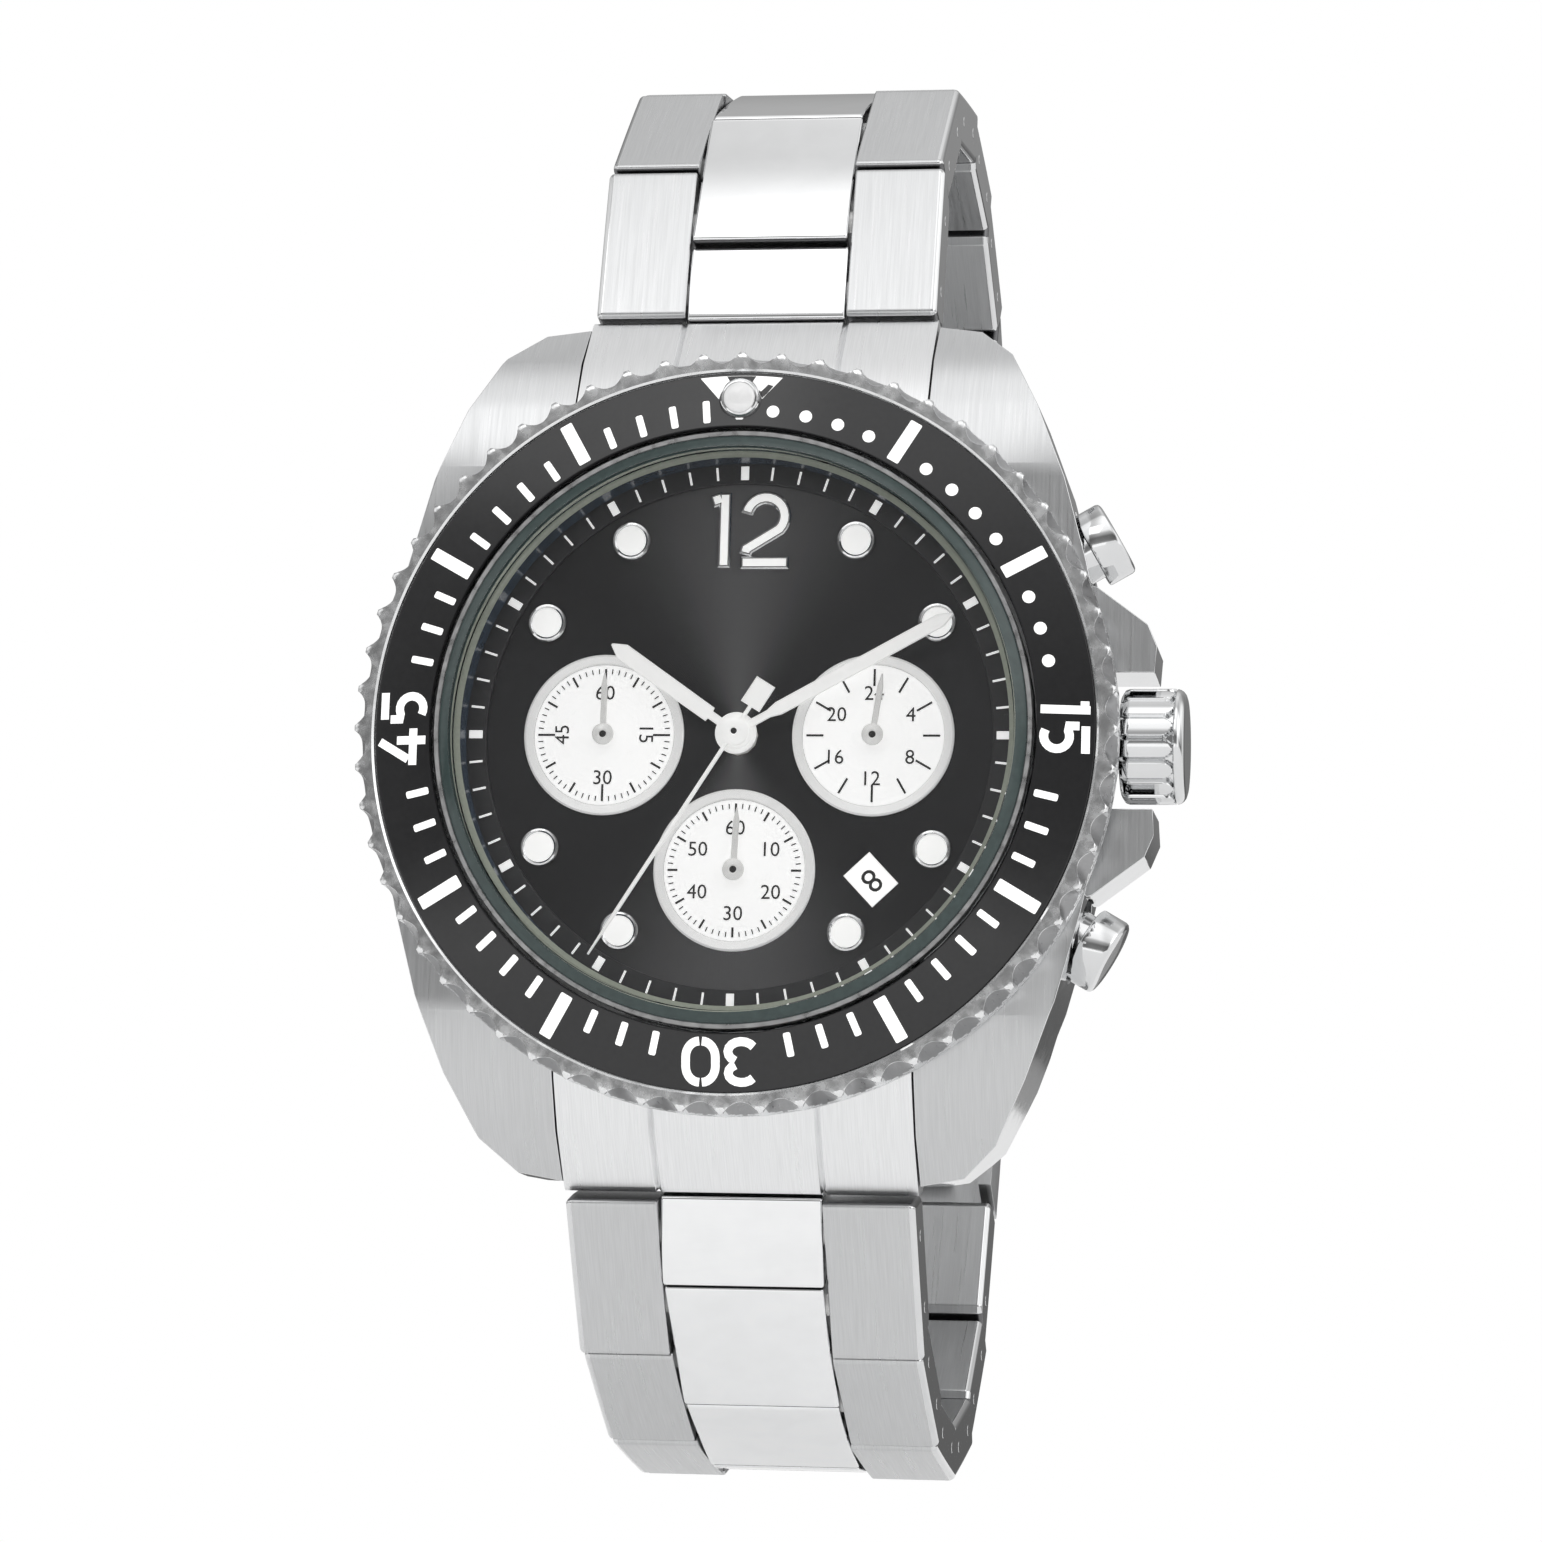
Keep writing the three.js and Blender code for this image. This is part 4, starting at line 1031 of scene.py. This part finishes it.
def make_pushers():
    profile = [
        (0.0, 15.9), (0.75, 15.9), (0.75, 18.9), (1.5, 18.9), (1.6, 19.0), (1.6, 21.2), (1.6, 21.75),
        (2.02, 21.75), (2.12, 21.8), (2.15, 21.9), *near(0, PUSHER_END, (2.15, -0.28), (2.1, -0.14)),
        *near(0, PUSHER_END, (1.98, -0.05), (1.85, -0.02), (1.0, 0), (0.0, 0)),
    ]
    for node, degrees in (("pusher_upper", PUSHER_ANGLE), ("pusher_lower", -PUSHER_ANGLE)):
        def put(point, degrees=degrees):
            return on_crown_axis(point, degrees)

        solid = Solid().lathe(profile, 72, place=put)
        piece(f"{node}_button", solid, ["polished"], node, [node])
        collar = Solid().lathe([
            (1.72, 19.6), (2.25, 19.6), (2.35, 19.7), (2.35, 20.35), (2.25, 20.45), (1.72, 20.45),
        ], 64, place=put)
        piece(f"{node}_collar", collar, ["polished"], "case")


# ---- case and case back
def make_case():
    def shoulder(edge):
        """Edges between the top and the flanks of the case, away from the round neck."""
        normals = sorted((f.normal.y for f in edge.link_faces))
        middle = (edge.verts[0].co + edge.verts[1].co) / 2 / MM
        away = math.hypot(middle.x, middle.z) > NECK_CLEAR_R
        return away and (normals[0] < -0.25 or normals[1] > 0.25) or middle.x > CROWN_GUARD_X

    def flank(normal):
        return abs(normal.y) < 0.35

    looks = ["brushed", "polished"]
    softened("case_middle", "case_body", 0.42, looks, shoulder, polish=flank,
             spare=NECK_R)


def make_case_back():
    r = high("case_back", X)
    profile = [
        (0.0, -0.02), (11.6, -0.02), (11.7, -0.12), (11.95, -0.12), (12.05, -0.02), (15.6, -0.02),
        (16.1, -0.08), (r - 0.2, -0.28), (r, -0.42), (r, -0.95), (16.05, -0.95), (16.05, -1.35),
        (0.0, -1.35),
    ]

    def notched(radius, y, turn):
        """Key slots round the rim of the cover."""
        in_slot = abs(turn * BACK_SLOTS % 1.0 - 0.5) * 2 < 0.12
        return BACK_SLOT_R if in_slot and radius > BACK_SLOT_R + 0.1 and y > -0.4 else radius

    solid = Solid().lathe(profile, 360, shape=notched)
    piece("case_back_cover", solid, ["brushed_round"], "case", ["case_back"])


# ---- bracelet
PINS = {j["name"]: Vector(j["pos_m"]) / MM for j in frame["joints"] if "pos_m" in j}


def strand_names(label):
    return [f"{label}_{kind}_link_{n}" for n in range(1, 7) for kind in ("centre", "outer")]


def link_place(label, start, way):
    """Takes (x, out, along) of a link to the frame; its own pin is at the origin."""
    side = 1 if label == "upper" else -1
    normal = Vector((0, side * way.z, -side * way.y))

    def place(point):
        x, out, along = point
        return tuple(Vector((x, 0, 0)) + start + normal * out + way * along)

    return place


def link_end(reach, lean, crown, corner):
    """Half of a link's side outline: the end meets its neighbour on the plane between them."""
    c, t = math.cos(lean), math.tan(lean)

    def along(out):
        return reach + LINK_END / c - LINK_END - out * t

    inner = min(along(1.3), reach - 0.42)
    return [
        (-LINK_T + crown, along(-LINK_T), corner), (0.3, min(along(0.3), reach), 0.2),
        (1.3, inner, 0.3), (LINK_T, inner - 0.45, 0.3),
    ]


def crowned(first, last, crown):
    """The outer face of a link, lower by the crown at its two ends."""
    shares = [k / 8 for k in range(1, 8)]
    return [(-LINK_T + crown * (2 * t - 1) ** 2, first + (last - first) * t, 0.0) for t in shares]


def link_outline(crown, corner, leans):
    """Side outline of a link about its pins: crowned outside, cut back towards the wrist."""
    end = link_end(PIN_GAP + LINK_END, leans[1], crown, corner)
    start = link_end(PIN_GAP + LINK_END, leans[0], crown, corner)
    start = [(y, PIN_GAP - z, r) for y, z, r in reversed(start)]
    first, last = start[-1][1], end[0][1]
    face = crowned(first, last, crown)
    return [*face, *end, *start]


def first_outline(crown, corner, lean):
    """Side outline of the half link that hooks the spring bar inside the end link."""
    front = 2.66
    hook = [(y, z, 0.0) for y, z in arc(0, 0, 1.33, 340, 150, 12)]
    end = link_end(5.0 + LINK_END, lean, crown, corner)
    first, last = front, end[0][1]
    face = crowned(first, last, crown)
    return [
        *hook, (-0.85, 1.3, 0.0), (-0.85, front, 0.1), (crown - LINK_T, front, 0.3), *face, *end,
        (LINK_T, 3.4, 0.2),
    ]


def link_directions(label, names):
    """Unit directions of a strand's links from pin to pin, in the YZ plane."""
    ways = []
    for index, name in enumerate(names):
        if index + 1 < len(names):
            way = PINS[names[index + 1] + "_pin"] - PINS[name + "_pin"]
        elif label == "upper":
            way = PINS["clasp_strand_pin"] - PINS[name + "_pin"]
        else:
            tilt = math.radians(LAST_LOWER_TILT)
            way = Vector((0, math.sin(tilt), -math.cos(tilt)))
        ways.append(way.normalized())
    return ways


def pin_heads(solid, half, spots, place):
    """Pin ends let into the outer sides of a link."""
    for along in spots:
        for side in (-1, 1):
            def put(point, along=along, side=side):
                u, depth, v = point
                return place((side * (half + depth), u, along + v))

            solid.lathe([
                (0.0, 0.015), (0.32, 0.015), (0.36, -0.01), (0.36, -0.3), (0.0, -0.3),
            ], 24, place=put, looks=[1] * 5)


def make_links():
    for label in ("upper", "lower"):
        names = strand_names(label)
        ways = link_directions(label, names)
        bends = [one.angle(two) for one, two in zip(ways, ways[1:])]
        for index, name in enumerate(names):
            place = link_place(label, PINS[name + "_pin"], ways[index])
            leans = (bends[max(index - 1, 0)], bends[index] if index < len(bends) else 0.0)
            half = high(name, X)
            if "centre" in name:
                make_centre_link(name, half, leans, index == 0, place)
            else:
                spots = (0.0,) if label == "lower" and index == len(bends) else (0.0, PIN_GAP)
                make_outer_links(name, high(names[index - 1], X) + 0.1, half, leans, spots, place)


def make_centre_link(name, half, leans, first, place):
    outline = first_outline(0.16, 0.3, leans[1]) if first else link_outline(0.16, 0.3, leans)
    solid = Solid().along_x(outline, -half, half, (0.14, 0.14), place=place, shade=1)
    piece(f"{name}_bar", solid, ["mirror", "shade"], name, [name])


def make_outer_links(name, inner, half, leans, spots, place):
    solid = Solid()
    outline = link_outline(0.06, 0.36, leans)
    solid.along_x(outline, inner, half, (0.1, 0.34), looks=(0, 0, 1), place=place, shade=3)
    solid.along_x(outline, -half, -inner, (0.34, 0.1), looks=(1, 0, 0), place=place, shade=3)
    pin_heads(solid, half, spots, place)
    for along in spots:
        def across(point, along=along):
            u, x, v = point
            return place((x, u, along + v))

        solid.lathe([(0.0, -inner - 0.3), (0.6, -inner - 0.3), (0.6, inner + 0.3), (0.0, inner + 0.3)],
                    24, place=across, looks=[2] * 4)
    looks = ["brushed", "polished", "satin", "shade"]
    piece(f"{name}_pair", solid, looks, name, [name])


# The outer face of an end link, as (y, z) points from the bezel to the first link.
END_LINK_FACE = [
    (-7.75, 15.5), (-7.3, 17), (-6.75, 18.8), (-5.15, 21.6), (-2.71, 24.37), (-2.34, 24.59),
    (-0.6, 24.17),
]
GROOVE_AT = 4.6


def groove_cutter(name, x, sign):
    """A slender wedge that follows the end link's outer face, to cut one V groove in it."""
    depth, half = 0.2, 0.17
    rings = []
    for i, (y, z) in enumerate(END_LINK_FACE):
        before, after = END_LINK_FACE[max(i - 1, 0)], END_LINK_FACE[min(i + 1, len(END_LINK_FACE) - 1)]
        out = Vector((before[1] - after[1], after[0] - before[0])).normalized()
        ring = []
        for dx, lift in ((-half * 1.3, 0.06), (0.0, -depth), (half * 1.3, 0.06), (0.0, 0.5)):
            ring.append(((x + dx) * MM, (y + out.x * lift) * MM, sign * (z + out.y * lift) * MM))
        rings.append(ring)
    solid = Solid().loft(rings)
    mesh = bpy.data.meshes.new(name)
    mesh.from_pydata(solid.verts, [], solid.faces)
    with edited(mesh) as bm:
        bmesh.ops.recalc_face_normals(bm, faces=bm.faces)
    return bpy.data.objects.new(name, mesh)


def make_end_links():
    for node, sign in (("end_link_upper", 1), ("end_link_lower", -1)):
        cutters = [groove_cutter(f"{node}_groove_{way}", way * GROOVE_AT, sign) for way in (-1, 1)]
        # The end links take the lighter copy of the brushed steel: painted light.
        looks = ["brushed_end", "polished"]
        softened(node, f"{node}_block", 0.16, looks, cutters=cutters)


def make_clasp():
    for node, width, names in (
        ("clasp_cover", 0.3, ["brushed", "polished"]), ("clasp_middle_blade", 0.12, ["polished"]),
        ("clasp_inner_blade", 0.12, ["polished"]), ("clasp_button_left", 0.2, ["polished"]),
        ("clasp_button_right", 0.2, ["polished"]),
    ):
        softened(node, f"{node}_part", width, names, angle=40)


# ---- what stays as the CAD made it
def dress_cad_nodes():
    slots = {part["node"]: part.get("material_slot") for part in frame["record"]["subparts"]}
    for name, obj in frame["nodes"].items():
        obj.data.materials.clear()
        obj.data.materials.append(LOOKS[SLOT_LOOKS[slots[name]]].material)


# ---- studio
def make_floor():
    mesh = bpy.data.meshes.new("floor")
    drop = Matrix.Translation((0, 0, FLOOR_Z * MM))
    with edited(mesh) as bm:
        bmesh.ops.create_grid(bm, x_segments=6, y_segments=6, size=FLOOR_HALF * MM, matrix=drop)
    floor = bpy.data.objects.new("floor", mesh)
    look = painted_look("floor_paper", (0.88, 0.88, 0.88), 0.8, 0.5, 0.01, 0.01).glow(0.22)
    mesh.materials.append(look.material)
    bpy.context.scene.collection.objects.link(floor)


def add_lamp(name, place, target, size, power):
    data = bpy.data.lights.new(name, "AREA")
    data.shape = "RECTANGLE"
    data.size, data.size_y = size[0] * MM, size[1] * MM
    data.energy = power
    lamp = bpy.data.objects.new(name, data)
    lamp.location = Vector(place) * MM
    way = (Vector(target) - Vector(place)).normalized()
    lamp.rotation_mode = "QUATERNION"
    lamp.rotation_quaternion = way.to_track_quat("-Z", "Y")
    bpy.context.scene.collection.objects.link(lamp)


# Brightness of the studio over the object: degrees from straight ahead, up and over to behind.
STUDIO_OVER = [
    (-180, 0.3), (-60, 0.8), (-8, 0.6), (2, 0.2), (12, 0.16), (20, 0.45), (30, 1.2), (46, 1.35),
    (62, 1.5), (72, 1.4), (80, 0.75), (90, 0.8), (108, 0.95), (126, 0.75), (142, 0.42), (158, 0.32),
    (172, 0.17), (180, 0.1),
]
# Its share from the left (-1) to the right (1), and soft boxes that stand at the two sides.
STUDIO_ACROSS = [
    (-1.0, 0.5), (-0.7, 0.36), (-0.4, 0.52), (-0.1, 1.0), (0.2, 1.0), (0.4, 0.75), (0.7, 0.85),
    (1.0, 0.5),
]
STUDIO_BOXES = [
    (-1.0, 0.05), (-0.86, 0.45), (-0.66, 0.5), (-0.5, 0.05), (0.5, 0.0), (0.68, 0.6), (0.88, 0.7),
    (1.0, 0.05),
]
STUDIO_BOX_HEIGHT = [(-1.0, 0.0), (-0.5, 0.6), (0.0, 1.0), (0.5, 1.0), (0.85, 0.0)]


def make_world():
    """A plain white background, and round the object a soft studio for it to reflect."""
    world = bpy.data.worlds.new("studio")
    world.use_nodes = True
    tree = Nodes(world.node_tree)

    def spread(socket, span, stops):
        """Brightness stops laid out from -span to span."""
        stops = [((at / span + 1) / 2, (value, value, value)) for at, value in stops]
        return tree.ramp(tree.math("MULTIPLY_ADD", socket, 0.5 / span, 0.5), stops, "EASE")

    place = tree.new("ShaderNodeTexCoord").outputs["Generated"]
    x, y, z = tree.new("ShaderNodeSeparateXYZ", Vector=place).outputs
    height = tree.math("ARCTAN2", z, tree.math("MULTIPLY", y, -1.0))
    over = spread(tree.math("MULTIPLY", height, 180 / math.pi), 180, STUDIO_OVER)
    across = spread(x, 1, STUDIO_ACROSS)
    boxes = tree.math("MULTIPLY", spread(x, 1, STUDIO_BOXES), spread(z, 1, STUDIO_BOX_HEIGHT))
    studio = tree.math("ADD", tree.math("MULTIPLY", over, across), boxes)
    path = tree.new("ShaderNodeLightPath")
    mix = tree.new("ShaderNodeMix", data_type="RGBA")
    tree.fill(mix.inputs["Factor"], path.outputs["Is Camera Ray"])
    tree.fill(mix.inputs[6], studio)
    tree.fill(mix.inputs[7], (1, 1, 1, 1))
    tree.fill(tree.nodes["Background"].inputs["Color"], mix.outputs[2])
    bpy.context.scene.world = world
    bpy.context.scene.view_settings.view_transform = "Standard"


def make_lamps():
    add_lamp("key", (-160, -380, 300), (0, 0, 0), (260, 180), 0.12)
    add_lamp("fill", (330, -300, 40), (0, 0, 0), (120, 300), 0.04)
    add_lamp("low", (-60, -330, -45), (0, 0, -10), (300, 60), 0.02)


make_bezel()
make_insert()
make_insert_marks()
make_pearl()
make_crystal()
make_chapter_ring()
make_dots()
make_twelve()
make_subdials()
make_date()
make_hands()
make_crown()
make_pushers()
make_case()
make_case_back()
make_links()
make_end_links()
make_clasp()
dress_cad_nodes()
make_floor()
make_world()
make_lamps()
